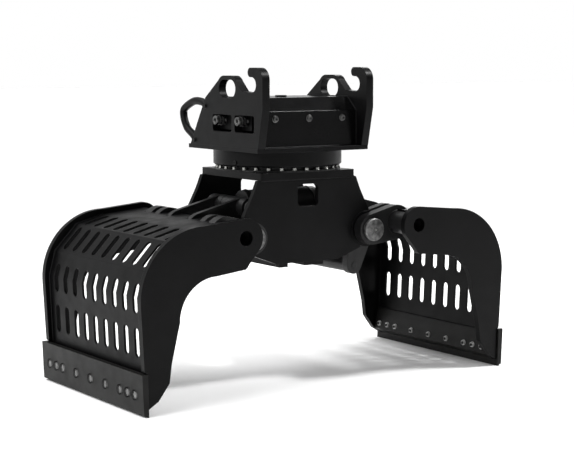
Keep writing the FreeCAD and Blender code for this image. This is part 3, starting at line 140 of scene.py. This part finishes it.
def black_paint(name, edge_radius, dark=(0.0013, 0.0013, 0.0014), light=(0.0024, 0.0024, 0.0026),
                smooth=0.32, dull=0.46, specular=0.105):
    """Satin black enamel with an orange-peel skin and faint clouding."""
    material, tree, shader = new_material(name, light, roughness=0.4, specular=specular)
    vary_colour(tree, shader, noise(tree, scale=5.0), dark, light)
    vary_roughness(tree, shader, noise(tree, scale=14.0, detail=4.0), smooth, dull)
    relief(tree, shader, noise(tree, scale=420.0, detail=2.0), strength=0.2, depth=0.0005,
           edge_radius=edge_radius)
    return material


def wear_steel():
    """Painted cutting edge, with drawn mill marks along it and the paint a little dulled."""
    light = (0.0078, 0.0078, 0.0074)
    material, tree, shader = new_material("wear_steel", light, roughness=0.45, specular=0.15)
    clouds = noise(tree, scale=9.0, detail=5.0, stretch=(1, 0.6, 1.6))
    vary_colour(tree, shader, clouds, (0.0048, 0.0048, 0.0045), light)
    vary_roughness(tree, shader, noise(tree, scale=16.0, detail=4.0), 0.38, 0.5)
    marks = noise(tree, scale=260.0, detail=3.0, stretch=(1, 0.5, 1))
    relief(tree, shader, marks, strength=0.22, depth=0.0005, edge_radius=0.0022)
    return material


def bare_steel(name, dark, light, low, high, stretch=(1, 1, 1)):
    """Metal without paint, of a roughness from low to high."""
    material, tree, shader = new_material(name, light, roughness=low, metallic=1.0)
    vary_colour(tree, shader, noise(tree, scale=40.0, detail=4.0), dark, light)
    vary_roughness(tree, shader, noise(tree, scale=60.0, detail=4.0, stretch=stretch), low, high)
    marks = noise(tree, scale=700.0, detail=3.0, stretch=stretch)
    relief(tree, shader, marks, strength=0.18, depth=0.0003, edge_radius=0.0008)
    return material


def plated_steel(name, dark, light):
    """Dull zinc plating, which also lights up where little is mirrored in it."""
    material, tree, shader = new_material(name, light, roughness=0.45, metallic=0.35)
    vary_colour(tree, shader, noise(tree, scale=45.0, detail=4.0), dark, light)
    vary_roughness(tree, shader, noise(tree, scale=80.0, detail=4.0), 0.38, 0.55)
    marks = noise(tree, scale=700.0, detail=3.0)
    relief(tree, shader, marks, strength=0.18, depth=0.0003, edge_radius=0.0008)
    return material


def turned_steel():
    """Grey pin steel with the fine rings that facing on a lathe leaves."""
    material, tree, shader = new_material("turned_steel", (0.2, 0.2, 0.2), roughness=0.4, metallic=0.85)
    vary_colour(tree, shader, noise(tree, scale=55.0, detail=4.0), (0.08, 0.08, 0.08), (0.2, 0.2, 0.198))
    vary_roughness(tree, shader, noise(tree, scale=90.0, detail=3.0), 0.34, 0.52)
    place = tree.nodes.new("ShaderNodeTexCoord")
    middle = tree.nodes.new("ShaderNodeMapping")
    middle.inputs["Location"].default_value = (-0.5, -0.5, -0.5)
    rings = tree.nodes.new("ShaderNodeTexWave")
    rings.wave_type = "RINGS"
    rings.rings_direction = "Y"
    rings.inputs["Scale"].default_value = 14.0
    tree.links.new(place.outputs["Generated"], middle.inputs["Vector"])
    tree.links.new(middle.outputs["Vector"], rings.inputs["Vector"])
    relief(tree, shader, rings.outputs["Fac"], strength=0.16, depth=0.0006, edge_radius=0.0015)
    return material


def dull_black(name, dark, light, specular):
    """Rubber, or a matte black used as painted shade."""
    material, tree, shader = new_material(name, (light, light, light), roughness=0.7, specular=specular)
    vary_colour(tree, shader, noise(tree, scale=120.0), (dark, dark, dark), (light, light, light))
    vary_roughness(tree, shader, noise(tree, scale=200.0), 0.6, 0.8)
    relief(tree, shader, noise(tree, scale=900.0), strength=0.3, depth=0.0003)
    return material


PAINT = black_paint("black_paint", edge_radius=0.0025)
FOLDED_PAINT = black_paint("folded_paint", edge_radius=0.007, specular=0.085)
BOX_PAINT = black_paint("box_paint", edge_radius=0.006, smooth=0.2, dull=0.28, specular=0.1)
# Lighter copies of the same black enamel, as painted light: they lift the levers, lugs, tubes and link that
# sit in shade.
PAINTED_LIGHT_PAINT = black_paint("painted_light_paint", edge_radius=0.0025, dark=(0.006, 0.006, 0.0062),
                          light=(0.0105, 0.0105, 0.0108), specular=0.27)
# The barrel and gland in the same enamel made lighter still: painted light for the barrel in deep shade.
PAINTED_LIGHT_BARREL_PAINT = black_paint("painted_light_barrel_paint", edge_radius=0.002, dark=(0.03, 0.03, 0.0305),
                           light=(0.045, 0.045, 0.0457), specular=0.5)
BEAD_PAINT = black_paint("weld_paint", edge_radius=0.0, dark=(0.003, 0.003, 0.0032),
                         light=(0.0055, 0.0055, 0.0058))
WEAR = wear_steel()
ZINC = bare_steel("zinc_steel", (0.24, 0.24, 0.23), (0.42, 0.42, 0.4), 0.3, 0.44)
MACHINED = bare_steel("machined_steel", (0.13, 0.13, 0.133), (0.26, 0.26, 0.265), 0.3, 0.48)
HEAD = bare_steel("bolt_head_steel", (0.15, 0.15, 0.148), (0.27, 0.27, 0.267), 0.36, 0.5)
NUT = plated_steel("nut_steel", (0.34, 0.34, 0.335), (0.48, 0.48, 0.474))
BOLT = bare_steel("bolt_steel", (0.06, 0.06, 0.06), (0.13, 0.13, 0.128), 0.34, 0.48)
BLACKED = bare_steel("blacked_steel", (0.016, 0.016, 0.016), (0.03, 0.03, 0.03), 0.4, 0.55)
PIN = turned_steel()
CHROME = bare_steel("rod_chrome", (0.62, 0.62, 0.63), (0.72, 0.72, 0.73), 0.08, 0.16, stretch=(0.2, 1, 1))
BRONZE = bare_steel("bush_bronze", (0.36, 0.22, 0.08), (0.55, 0.36, 0.15), 0.28, 0.42)
SEAL = dull_black("seal_rubber", dark=0.008, light=0.018, specular=0.4)
# Matte black for the painted shade round the bolt recesses.
PAINTED_SHADE_BLACK = dull_black("dull_black", dark=0.0012, light=0.003, specular=0.04)
BY_SLOT = {"black_paint": PAINT, "wear_steel": WEAR, "pin_steel": PIN, "zinc_steel": ZINC,
           "machined_steel": MACHINED, "rod_chrome": CHROME, "bush_bronze": BRONZE}


def smooth_curves():
    """A modifier that joins doubled points and shades faces smooth where they meet at a small angle."""
    merge_distance = 0.000002
    smooth_limit = math.radians(24)
    group = bpy.data.node_groups.new("smooth_curves", "GeometryNodeTree")
    group.interface.new_socket("Geometry", in_out="INPUT", socket_type="NodeSocketGeometry")
    group.interface.new_socket("Geometry", in_out="OUTPUT", socket_type="NodeSocketGeometry")
    start = group.nodes.new("NodeGroupInput")
    merge = group.nodes.new("GeometryNodeMergeByDistance")
    merge.inputs["Distance"].default_value = merge_distance
    angle = group.nodes.new("GeometryNodeInputMeshEdgeAngle")
    small = group.nodes.new("FunctionNodeCompare")
    small.data_type = "FLOAT"
    small.operation = "LESS_THAN"
    small.inputs["B"].default_value = smooth_limit
    faces = group.nodes.new("GeometryNodeSetShadeSmooth")
    edges = group.nodes.new("GeometryNodeSetShadeSmooth")
    edges.domain = "EDGE"
    end = group.nodes.new("NodeGroupOutput")
    group.links.new(start.outputs[0], merge.inputs["Geometry"])
    group.links.new(merge.outputs["Geometry"], faces.inputs["Geometry"])
    group.links.new(faces.outputs["Geometry"], edges.inputs["Geometry"])
    group.links.new(angle.outputs["Unsigned Angle"], small.inputs["A"])
    group.links.new(small.outputs["Result"], edges.inputs["Shade Smooth"])
    group.links.new(edges.outputs["Geometry"], end.inputs[0])
    return group


def dress_cad_nodes():
    """Gives each CAD node the material of its slot, or one of its own where its finish differs, or a lighter
    copy of the black paint as painted light where the node sits in shade.
    """
    slots = {part["node"]: part["material_slot"] for part in frame["record"]["subparts"]}
    own = {"adapter_cross_box": BOX_PAINT, "slewing_ring": BLACKED, "rotator_port_plug": BLACKED,
           "cylinder_barrel": PAINTED_LIGHT_BARREL_PAINT, "cylinder_gland": PAINTED_LIGHT_BARREL_PAINT, "cylinder_end_eye": PAINTED_LIGHT_PAINT,
           "sync_link": PAINTED_LIGHT_PAINT, "right_shell_lower_cross_tube": PAINTED_LIGHT_PAINT}
    for name, _ in SHELLS:
        own[name + "_shell_back_sheet"] = FOLDED_PAINT
        for part in ("cylinder_levers", "hinge_lugs", "torsion_tube"):
            own[name + "_shell_" + part] = PAINTED_LIGHT_PAINT
    smoothing = smooth_curves()
    for name, node in nodes.items():
        node.data.materials.clear()
        node.data.materials.append(own.get(name, BY_SLOT[slots[name]]))
        modifier = node.modifiers.new("smooth_curves", "NODES")
        modifier.node_group = smoothing


# Mesh tools

SHARP_ANGLE = math.radians(38)


def turns(count):
    """Angles at even steps round a full turn."""
    return [2 * math.pi * index / count for index in range(count)]


def bridge(mesh, lower, upper, shift=0):
    """Adds the faces between two rings, of which the upper one starts a number of points further on."""
    count = len(lower)
    for index in range(count):
        after = (index + 1) % count
        mesh.faces.new((lower[index], lower[after], upper[(after + shift) % count],
                        upper[(index + shift) % count]))


def close_ends(mesh, rings):
    """Adds the faces that close the first and the last ring."""
    mesh.faces.new(list(reversed(rings[0])))
    mesh.faces.new(rings[-1])


def polygon_radius(radius, corners, angle):
    """Distance from the middle of a polygon of that corner radius to its edge. No corners is a circle."""
    if not corners:
        return radius
    step = 2 * math.pi / corners
    return radius * math.cos(step / 2) / math.cos((angle % step) - step / 2)


def add_ring(mesh, origin, axis, along, radius, corners, sides):
    """Adds a ring of points round an axis, at a distance along it. Returns the points."""
    turn = Vector((0, 0, 1)).rotation_difference(Vector(axis)).to_matrix()
    ring = []
    for angle in turns(sides):
        reach = polygon_radius(radius, corners, angle)
        point = Vector((reach * math.cos(angle), reach * math.sin(angle), along))
        ring.append(mesh.verts.new(Vector(origin) + turn @ point))
    return ring


def turned(mesh, profile, origin, axis, sides=24):
    """Adds a turned solid. The profile lists (distance along the axis, radius, corners of the ring)."""
    rings = [add_ring(mesh, origin, axis, *step, sides) for step in profile]
    for lower, upper in zip(rings, rings[1:]):
        bridge(mesh, lower, upper)
    close_ends(mesh, rings)


def resampled(points, step, closed):
    """Points at even distances along a line through the given ones."""
    line = [Vector(point) for point in points]
    if closed:
        line.append(line[0])
    result = []
    for start, end in zip(line, line[1:]):
        count = max(1, round((end - start).length / step))
        result += [start.lerp(end, index / count) for index in range(count)]
    return result if closed else result + [line[-1]]


def swept(mesh, points, radius, closed=False, ripple=0.0, sides=6):
    """Adds a round bar along a line. A ripple narrows every third ring, as between the runs of a weld."""
    count = len(points)
    side = None
    rings = []
    for index, point in enumerate(points):
        before = points[index - 1] if closed or index else point
        after = points[(index + 1) % count] if closed or index + 1 < count else point
        along = (after - before).normalized()
        if side is None:
            side = along.orthogonal().normalized()
        side = (side - along * side.dot(along)).normalized()
        up = along.cross(side)
        reach = radius * (1 + ripple if index % 3 else 1 - ripple)
        rings.append([mesh.verts.new(point + (side * math.cos(angle) + up * math.sin(angle)) * reach)
                      for angle in turns(sides)])
    for lower, upper in zip(rings, rings[1:]):
        bridge(mesh, lower, upper)
    if closed:
        first, last = rings[0], rings[-1]
        shift = min(range(sides), key=lambda number: (last[0].co - first[number].co).length)
        bridge(mesh, last, first, shift)
    else:
        close_ends(mesh, rings)


def weld(mesh, points, radius=0.004, closed=False):
    """Adds a rippled weld bead along a line."""
    ring_spacing = radius * 0.65
    swept(mesh, resampled(points, ring_spacing, closed), radius, closed, ripple=0.11)


def circle_x(x, z, radius, count=72):
    """Points on a circle about the X direction, with its middle at Y 0."""
    return [Vector((x, radius * math.cos(angle), z + radius * math.sin(angle))) for angle in turns(count)]


def circle_y(x, y, z, radius, count=48):
    """Points on a circle about the Y direction."""
    return [Vector((x + radius * math.cos(angle), y, z + radius * math.sin(angle))) for angle in turns(count)]


def circle_z(radius, z, count=96):
    """Points on a circle about the slewing axis."""
    return [Vector((radius * math.cos(angle), radius * math.sin(angle), z)) for angle in turns(count)]


def piece(name, mesh, body, material, slot_name, *replaced):
    """Turns a mesh into a shown piece that rides on a body of the model."""
    bmesh.ops.recalc_face_normals(mesh, faces=mesh.faces)
    data = bpy.data.meshes.new(name)
    mesh.to_mesh(data)
    mesh.free()
    data.shade_smooth()
    data.set_sharp_from_angle(angle=SHARP_ANGLE)
    item = bpy.data.objects.new(name, data)
    item.data.materials.append(material)
    bpy.context.scene.collection.objects.link(item)
    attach(item, body)
    if replaced:
        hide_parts(*replaced)


# Fasteners

WASHER_SHARE = 1.08  # washer radius to the corner radius of its nut or head
BLADE_BOLT_Y = (0.0, 0.145, 0.285, 0.354, 0.423)
BLADE_BOLT_Z = 0.092


def socket_head(mesh, origin, axis, radius, height, socket):
    """A round head that stands height above its seat, with a hexagon socket and a rounded rim."""
    soft = height * 0.22
    turned(mesh, [(0, radius, 0), (height - soft, radius, 0), (height - soft * 0.3, radius - soft * 0.3, 0),
                  (height, radius - soft, 0), (height, socket * 1.12, 0), (height - soft * 0.4, socket, 6),
                  (height * 0.35, socket, 6)], origin, axis)


def domed_head(mesh, origin, axis, radius, height):
    """A round head with a rounded rim and a slightly domed face."""
    turned(mesh, [(0, radius, 0), (height * 0.78, radius, 0), (height * 0.88, radius * 0.985, 0),
                  (height * 0.94, radius * 0.95, 0), (height * 0.97, radius * 0.62, 0),
                  (height, radius * 0.2, 0)], origin, axis, sides=32)


def shade_ring(mesh, origin, axis, inner, outer, height):
    """A low matte black ring round the mouth of a recess: painted shade for the shadowed gap round the head.
    """
    section = ((0.0, inner), (height, inner + height), (height, outer - height), (0.0, outer))
    rings = [add_ring(mesh, origin, axis, along, radius, corners=0, sides=32) for along, radius in section]
    for lower, upper in zip(rings, rings[1:] + rings[:1]):
        bridge(mesh, lower, upper)


def hexagon_head(mesh, origin, axis, corner, height, washer):
    """A hexagon head or nut on a washer, with its corners turned off."""
    base = height * 0.16
    turned(mesh, [(0, washer, 0), (base * 0.8, washer, 0), (base, washer * 0.97, 0), (base, corner * 0.97, 6),
                  (height * 0.9, corner, 6), (height, corner * 0.9, 0), (height, corner * 0.55, 0),
                  (height * 0.93, corner * 0.5, 0)], origin, axis)


def thread_end(mesh, origin, axis, radius, length):
    """The threaded end of a bolt beyond its nut."""
    pitch = 0.0025
    count = max(2, round(length / pitch))
    profile = []
    for index in range(count):
        profile += [(index * pitch, radius * 0.9, 0), ((index + 0.5) * pitch, radius, 0)]
    profile.append((count * pitch, radius * 0.82, 0))
    turned(mesh, profile, origin, axis, sides=20)


def grease_nipple(mesh, origin, axis):
    """A small hexagon with a waisted, tapered tip."""
    turned(mesh, [(0, 0.0062, 6), (0.004, 0.0062, 6), (0.0042, 0.0036, 0), (0.0075, 0.003, 0),
                  (0.009, 0.0037, 0), (0.0105, 0.0032, 0), (0.0112, 0.0012, 0)], origin, axis, sides=18)


def blade_fasteners(name, side):
    """Domed plough heads in the cutting edge's recesses, and nuts with washers inside the shell."""
    head_radius, head_height, head_sunk = 0.0182, 0.007, 0.0075
    # The rings round the recess mouths are painted shade: matte black for the shadowed gap round each head.
    shade_inner, shade_outer, shade_height = 0.0193, 0.0236, 0.0001
    nut_height_share, nut_corner_share = 0.7, 1.18  # of the solid nut's sizes
    thread_radius, thread_length = 0.0078, 0.005
    body = name + "_shell"
    outward, inward = (side, 0, 0), (-side, 0, 0)
    outer = 1 if side > 0 else 0  # which of a box's two corners lies on the outer side
    face_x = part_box(name + "_shell_blade_bolts")[outer].x
    blade_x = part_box(name + "_shell_cutting_edge")[outer].x
    nut_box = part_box(name + "_shell_blade_nuts")
    seat_x = nut_box[outer].x
    nut_height = (nut_box[1].x - nut_box[0].x) * nut_height_share
    nut_corner = (nut_box[1].z - BLADE_BOLT_Z) * nut_corner_share
    heads, nuts, threads, shade_rings = (bmesh.new() for _ in range(4))
    for y in sorted({end * y for y in BLADE_BOLT_Y for end in ENDS}):
        domed_head(heads, (face_x - side * head_sunk, y, BLADE_BOLT_Z), outward, head_radius, head_height)
        shade_ring(shade_rings, (blade_x, y, BLADE_BOLT_Z), outward, shade_inner, shade_outer, shade_height)
        hexagon_head(nuts, (seat_x, y, BLADE_BOLT_Z), inward, nut_corner, nut_height,
                     nut_corner * WASHER_SHARE)
        thread_end(threads, (seat_x - side * nut_height, y, BLADE_BOLT_Z), inward, thread_radius,
                   thread_length)
    piece(body + "_bolt_heads", heads, body, HEAD, "machined_steel", name + "_shell_blade_bolts")
    piece(body + "_nuts_and_washers", nuts, body, NUT, "machined_steel", name + "_shell_blade_nuts")
    piece(body + "_bolt_threads", threads, body, BLACKED, "machined_steel")
    piece(body + "_bolt_recess_painted_shade", shade_rings, body, PAINTED_SHADE_BLACK, "black_paint")


def ring_fasteners():
    """Hexagon screws round the slewing ring's flange."""
    count = 30
    corner = 0.0105
    low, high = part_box("slewing_ring_bolts")
    circle = high.x - corner
    screws = bmesh.new()
    for angle in turns(count):
        seat = (circle * math.cos(angle), circle * math.sin(angle), low.z)
        hexagon_head(screws, seat, (0, 0, 1), corner * 0.92, high.z - low.z, corner * WASHER_SHARE)
    piece("slewing_ring_screws", screws, "lower_frame", ZINC, "zinc_steel", "slewing_ring_bolts")


def adapter_fasteners():
    """Socket screws on the front of the cross box, and hexagon screws by the hose guard's feet."""
    forward = (0, -1, 0)
    head_height = 0.010
    low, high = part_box("cross_box_bolts")
    head = (high.z - low.z) / 2
    washer = [(0, head * 1.25, 0), (0.002, head * 1.25, 0), (0.0024, head * 1.2, 0)]
    screws = bmesh.new()
    for place in (-1, 0, 1):
        seat = (place * (high.x - head), low.y + head_height, (low.z + high.z) / 2)
        turned(screws, washer, seat, forward)
        socket_head(screws, seat, forward, head, head_height, socket=head * 0.5)
    piece("cross_box_screws", screws, "adapter", BOLT, "zinc_steel", "cross_box_bolts")
    corner = 0.011
    low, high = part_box("hose_guard_bolts")
    guard = bmesh.new()
    for y, z in ((low.y + corner, high.z - corner), (high.y - corner, low.z + corner)):
        hexagon_head(guard, (high.x, y, z), (-1, 0, 0), corner, high.x - low.x, washer=corner * 1.25)
    piece("hose_guard_screws", guard, "adapter", BLACKED, "zinc_steel", "hose_guard_bolts")


def nipples():
    """Grease nipples in the ends of the pins, and at the rear of the rotator housing."""
    for name, _ in SHELLS:
        pins = bmesh.new()
        for part, ends in (("hinge_pins", ENDS), ("cylinder_pin", ENDS), ("link_pin", ENDS[:1])):
            low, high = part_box(name + "_shell_" + part)
            middle = (low + high) / 2
            for end in ends:
                grease_nipple(pins, (middle.x, high.y if end > 0 else low.y, middle.z), (0, end, 0))
        piece(name + "_shell_grease_nipples", pins, name + "_shell", ZINC, "zinc_steel")
    height = 1.078
    housing = bmesh.new()
    radius = half_size("rotator_housing").x
    for degrees in (50, 90, 130):
        angle = math.radians(degrees)
        outward = Vector((math.cos(angle), math.sin(angle), 0))
        grease_nipple(housing, outward * radius + Vector((0, 0, height)), outward)
    piece("rotator_grease_nipples", housing, "adapter", ZINC, "zinc_steel")


# Hydraulics

def port_couplings():
    """Collars, hexagons and threaded mouths on the two hydraulic ports."""
    bore = 0.0095
    bore_depth = 0.024
    thread_root = bore * 0.9
    crest_to_root = 0.0025
    low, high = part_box("hydraulic_port_fittings")
    length = high.x - low.x
    collar = (high.z - low.z) / 2
    profile = [(0, collar * 0.99, 0), (0.008, collar * 0.99, 0), (0.009, collar * 1.04, 6),
               (0.022, collar * 1.04, 6), (0.023, collar * 0.86, 0), (0.026, collar * 0.86, 0),
               (0.027, collar * 0.93, 0), (0.036, collar * 0.93, 0), (0.037, collar * 0.8, 0),
               (0.040, collar * 0.8, 0), (0.041, collar * 0.88, 0), (length - 0.003, collar * 0.88, 0),
               (length, collar * 0.8, 0), (length, bore * 1.2, 0)]
    for crest in (0.0015, 0.0055, 0.0095):
        profile += [(length - crest, bore, 0), (length - crest - crest_to_root, thread_root, 0)]
    profile.append((length - bore_depth, thread_root, 0))
    steel = bmesh.new()
    for y in (low.y + collar, high.y - collar):
        turned(steel, profile, Vector((high.x, y, (low.z + high.z) / 2)), (-1, 0, 0), sides=36)
    piece("hydraulic_couplings", steel, "adapter", BOLT, "zinc_steel", "hydraulic_port_fittings")


def cylinder_trim():
    """The wiper seal in the gland, weld beads on the barrel, and screwed plugs in its ports."""
    gland_low, gland_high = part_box("cylinder_gland")
    axis_z = ((gland_low + gland_high) / 2).z
    rod_radius = 0.035
    seal = bmesh.new()
    turned(seal, [(0, rod_radius + 0.009, 0), (0.0025, rod_radius + 0.009, 0), (0.006, rod_radius + 0.003, 0),
                  (0.006, rod_radius + 0.0005, 0), (-0.002, rod_radius + 0.0005, 0)],
           (gland_high.x, 0, axis_z), (1, 0, 0), sides=48)
    piece("cylinder_wiper_seal", seal, "cylinder_barrel", SEAL, "black_paint")
    barrel_low, barrel_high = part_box("cylinder_barrel")
    gland_radius = half_size("cylinder_gland").z
    beads = bmesh.new()
    for x in (barrel_low.x, barrel_high.x):
        weld(beads, circle_x(x, axis_z, gland_radius), radius=0.0035, closed=True)
    piece("cylinder_weld_beads", beads, "cylinder_barrel", BEAD_PAINT, "black_paint")
    plug_inset = 0.028
    plugs = bmesh.new()
    for x in (barrel_low.x + plug_inset, barrel_high.x - plug_inset):
        hexagon_head(plugs, (x, barrel_high.y, axis_z), (0, 1, 0), corner=0.0115, height=0.009, washer=0.013)
    piece("cylinder_port_plugs", plugs, "cylinder_barrel", ZINC, "zinc_steel")


def rounded(points, radius):
    """The line through the points with each inner corner rounded off."""
    steps = 7
    most = 0.48  # share of a straight that one corner's round may take
    line = [Vector(point) for point in points]
    result = [line[0]]
    for before, corner, after in zip(line, line[1:], line[2:]):
        back = min(radius, (corner - before).length * most)
        on = min(radius, (after - corner).length * most)
        start = corner + (before - corner).normalized() * back
        end = corner + (after - corner).normalized() * on
        for index in range(steps + 1):
            share = index / steps
            result.append(start.lerp(corner, share).lerp(corner.lerp(end, share), share))
    return result + [line[-1]]


def hose_guard():
    """The bent round bar at the rear of the left plate, with a weld ring at each foot."""
    bend_radius = 0.04
    ring_spacing = 0.006
    low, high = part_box("hose_guard_bow")
    bar = (high.x - low.x) / 2
    foot_radius = bar + 0.001
    foot_out = 0.005
    x = (low.x + high.x) / 2
    shoulder = Vector((x, 0.153, 1.365))  # upper end of the plate's rear edge
    edge = Vector((0, 0.5243, -0.8515))  # down that edge
    out = Vector((0, 0.8515, 0.5243))  # square to it
    route = [(0.044, -0.006), (0.044, 0.028), (0.080, 0.098), (0.122, 0.134), (0.162, 0.161), (0.187, 0.169),
             (0.219, 0.141), (0.242, 0.090), (0.236, 0.037), (0.236, -0.006)]
    points = [shoulder + edge * down + out * reach for down, reach in route]
    bow = bmesh.new()
    swept(bow, resampled(rounded(points, bend_radius), ring_spacing, False), bar, sides=20)
    piece("hose_guard_bent_bar", bow, "adapter", PAINT, "black_paint", "hose_guard_bow")
    feet = bmesh.new()
    for foot in (points[0], points[-1]):
        middle = foot + out * foot_out
        ring = [middle + (Vector((1, 0, 0)) * math.cos(turn) + edge * math.sin(turn)) * foot_radius
                for turn in turns(24)]
        weld(feet, ring, radius=0.003, closed=True)
    piece("hose_guard_weld_beads", feet, "adapter", BEAD_PAINT, "black_paint")


# Weld beads

TUBE_PLATE_FACES = (0.080, 0.110, 0.191, 0.231, 0.268, 0.320)  # levers and lugs on the tube, in Y
BACK_CENTRE = (0.720, 0.500)  # middle of the back sheet's bends, in X and Z
SHEET_OUTER = 0.295  # distance from there to the corners of the sheet's outer face
SHEET_BENDS = (90, 60, 27, 3)  # directions of those corners
SHEET_THICKNESS = 0.010
SHEET_FOOT = (1.000, 0.175)  # lower end of the sheet's outer face, in X and Z


def shell_beads(name, side):
    """Beads round the torsion tube at each plate, and along the back sheet where it meets plates and bar."""
    tube = centre(name + "_shell_torsion_tube")
    radius = half_size(name + "_shell_torsion_tube").x
    inner_face = half_size(name + "_shell_torsion_tube").y
    rise, end_rise = 0.002, 0.001  # middle of a bead off the tube
    beads = bmesh.new()
    for y in TUBE_PLATE_FACES:
        for end in ENDS:
            weld(beads, circle_y(tube.x, end * y, tube.z, radius + rise), closed=True)
    for end in ENDS:
        weld(beads, circle_y(tube.x, end * inner_face, tube.z, radius + end_rise), radius=0.005, closed=True)
        for inset in (0.0, SHEET_THICKNESS):
            reach = SHEET_OUTER - inset
            line = [(BACK_CENTRE[0] + reach * math.cos(math.radians(angle)),
                     BACK_CENTRE[1] + reach * math.sin(math.radians(angle))) for angle in SHEET_BENDS]
            line.append((SHEET_FOOT[0] - inset, SHEET_FOOT[1]))
            weld(beads, [Vector((side * x, end * inner_face, z)) for x, z in line], radius=0.0035)
    for inset in (0.0, SHEET_THICKNESS):
        foot_x = side * (SHEET_FOOT[0] - inset)
        weld(beads, [Vector((foot_x, end * inner_face, SHEET_FOOT[1])) for end in ENDS], radius=0.0045)
    piece(name + "_shell_weld_beads", beads, name + "_shell", BEAD_PAINT, "black_paint")


def adapter_beads():
    """Beads round the cross box where it meets both side plates and the base plate, and round the housing."""
    ridge_z = 1.306  # fold between the box's front and its upper front face
    brow_y = -0.200  # front edge of its top
    crown_y = 0.125  # rear edge of its top
    inset = 0.001  # middle of a bead off the side plates
    low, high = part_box("adapter_cross_box")
    outline = ((low.y, low.z), (low.y, ridge_z), (brow_y, high.z), (crown_y, high.z), (high.y, low.z))
    beads = bmesh.new()
    for x in (low.x + inset, high.x - inset):
        weld(beads, [Vector((x, y, z)) for y, z in outline])
    for y in (low.y, high.y):
        weld(beads, [Vector((low.x, y, low.z)), Vector((high.x, y, low.z))], radius=0.005)
    base_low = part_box("adapter_base_plate")[0]
    weld(beads, circle_z(half_size("rotator_housing").x, base_low.z), closed=True)
    piece("adapter_weld_beads", beads, "adapter", BEAD_PAINT, "black_paint")


def frame_beads():
    """Beads along both faces of each side plate under the top plate, and along the belly plate's sides."""
    plate_outer = 0.262
    plate_inner = 0.237
    top_low, top_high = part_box("frame_top_plate")
    beads = bmesh.new()
    for end in ENDS:
        for face in (plate_outer, plate_inner):
            weld(beads, [Vector((x, end * face, top_low.z)) for x in (top_low.x, top_high.x)], radius=0.005)
    low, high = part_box("frame_belly_plate")
    for y in (low.y, high.y):
        for z in (low.z, high.z):
            weld(beads, [Vector((low.x, y, z)), Vector((high.x, y, z))])
    piece("frame_weld_beads", beads, "lower_frame", BEAD_PAINT, "black_paint")


# Stage, light and camera

def stage():
    """A plain pale floor that reaches far beyond the view."""
    mesh = bmesh.new()
    bmesh.ops.create_grid(mesh, x_segments=1, y_segments=1, size=60)
    data = bpy.data.meshes.new("floor")
    mesh.to_mesh(data)
    mesh.free()
    floor = bpy.data.objects.new("floor", data)
    bpy.context.scene.collection.objects.link(floor)
    material, tree, shader = new_material("pale_floor", (0.97, 0.97, 0.97), roughness=0.9, specular=0.1)
    vary_colour(tree, shader, noise(tree, scale=0.6), (0.965, 0.965, 0.965), (0.975, 0.975, 0.975))
    floor.data.materials.append(material)


def studio():
    """A white room with a dimmer wall towards -Y and a dimmer ceiling, so that plates and folds stay dark."""
    world = bpy.data.worlds.new("studio")
    world.use_nodes = True
    tree = world.node_tree
    place = tree.nodes.new("ShaderNodeTexCoord")
    split = tree.nodes.new("ShaderNodeSeparateXYZ")
    tree.links.new(place.outputs["Generated"], split.inputs["Vector"])
    wall = map_range(tree, split.outputs["Y"], start=-0.75, end=0.1, first=0.22, last=1.0)
    roof = map_range(tree, split.outputs["Z"], start=0.12, end=0.5, first=1.0, last=0.3)
    strength = tree.nodes.new("ShaderNodeMath")
    strength.operation = "MULTIPLY"
    for number, fade in enumerate((wall, roof)):
        fade.interpolation_type = "SMOOTHSTEP"
        tree.links.new(fade.outputs["Result"], strength.inputs[number])
    background = tree.nodes["Background"]
    background.inputs["Color"].default_value = (1, 1, 1, 1)
    tree.links.new(strength.outputs["Value"], background.inputs["Strength"])
    bpy.context.scene.world = world


def add_light(name, data, place, target):
    light = bpy.data.objects.new(name, data)
    light.location = place
    light.rotation_euler = (Vector(target) - Vector(place)).to_track_quat("-Z", "Y").to_euler()
    bpy.context.scene.collection.objects.link(light)


def softbox(name, place, target, size, power):
    data = bpy.data.lights.new(name, "AREA")
    data.shape = "RECTANGLE"
    data.size, data.size_y = size
    data.energy = power
    add_light(name, data, place, target)


def ceiling():
    """A wide, even light from above that keeps the floor white."""
    data = bpy.data.lights.new("ceiling", "SUN")
    data.energy = 2.8
    data.angle = math.radians(70)
    add_light("ceiling", data, place=(-2.0, 1.6, 5.0), target=(0, 0, 0))


def camera():
    """The photograph's point of view, fitted to the parallel plates and the pins."""
    yaw = 0.5987
    pitch_down = 0.1111
    data = bpy.data.cameras.new("camera")
    data.sensor_fit = "HORIZONTAL"
    data.sensor_width = 36.0
    data.lens = 97.5
    eye = bpy.data.objects.new("camera", data)
    eye.location = (-4.2532, -6.3177, 1.5744)
    eye.rotation_euler = (math.pi / 2 - pitch_down, 0, -yaw)
    bpy.context.scene.collection.objects.link(eye)
    bpy.context.scene.camera = eye


dress_cad_nodes()
for shell_name, shell_side in SHELLS:
    blade_fasteners(shell_name, shell_side)
    shell_beads(shell_name, shell_side)
ring_fasteners()
adapter_fasteners()
nipples()
port_couplings()
cylinder_trim()
hose_guard()
adapter_beads()
frame_beads()
stage()
studio()
ceiling()
softbox("key", place=(-5.5, -1.0, 3.6), target=(0, 0, 0.8), size=(2.5, 2.5), power=120)
softbox("rim", place=(4.5, 3.5, 2.8), target=(0, 0, 0.8), size=(2.0, 3.0), power=90)
softbox("fold_light", place=(3.1, -2.2, 5.4), target=(0, -0.27, 1.3), size=(1.0, 0.6), power=300)
camera()
bpy.context.scene.view_settings.view_transform = "Standard"
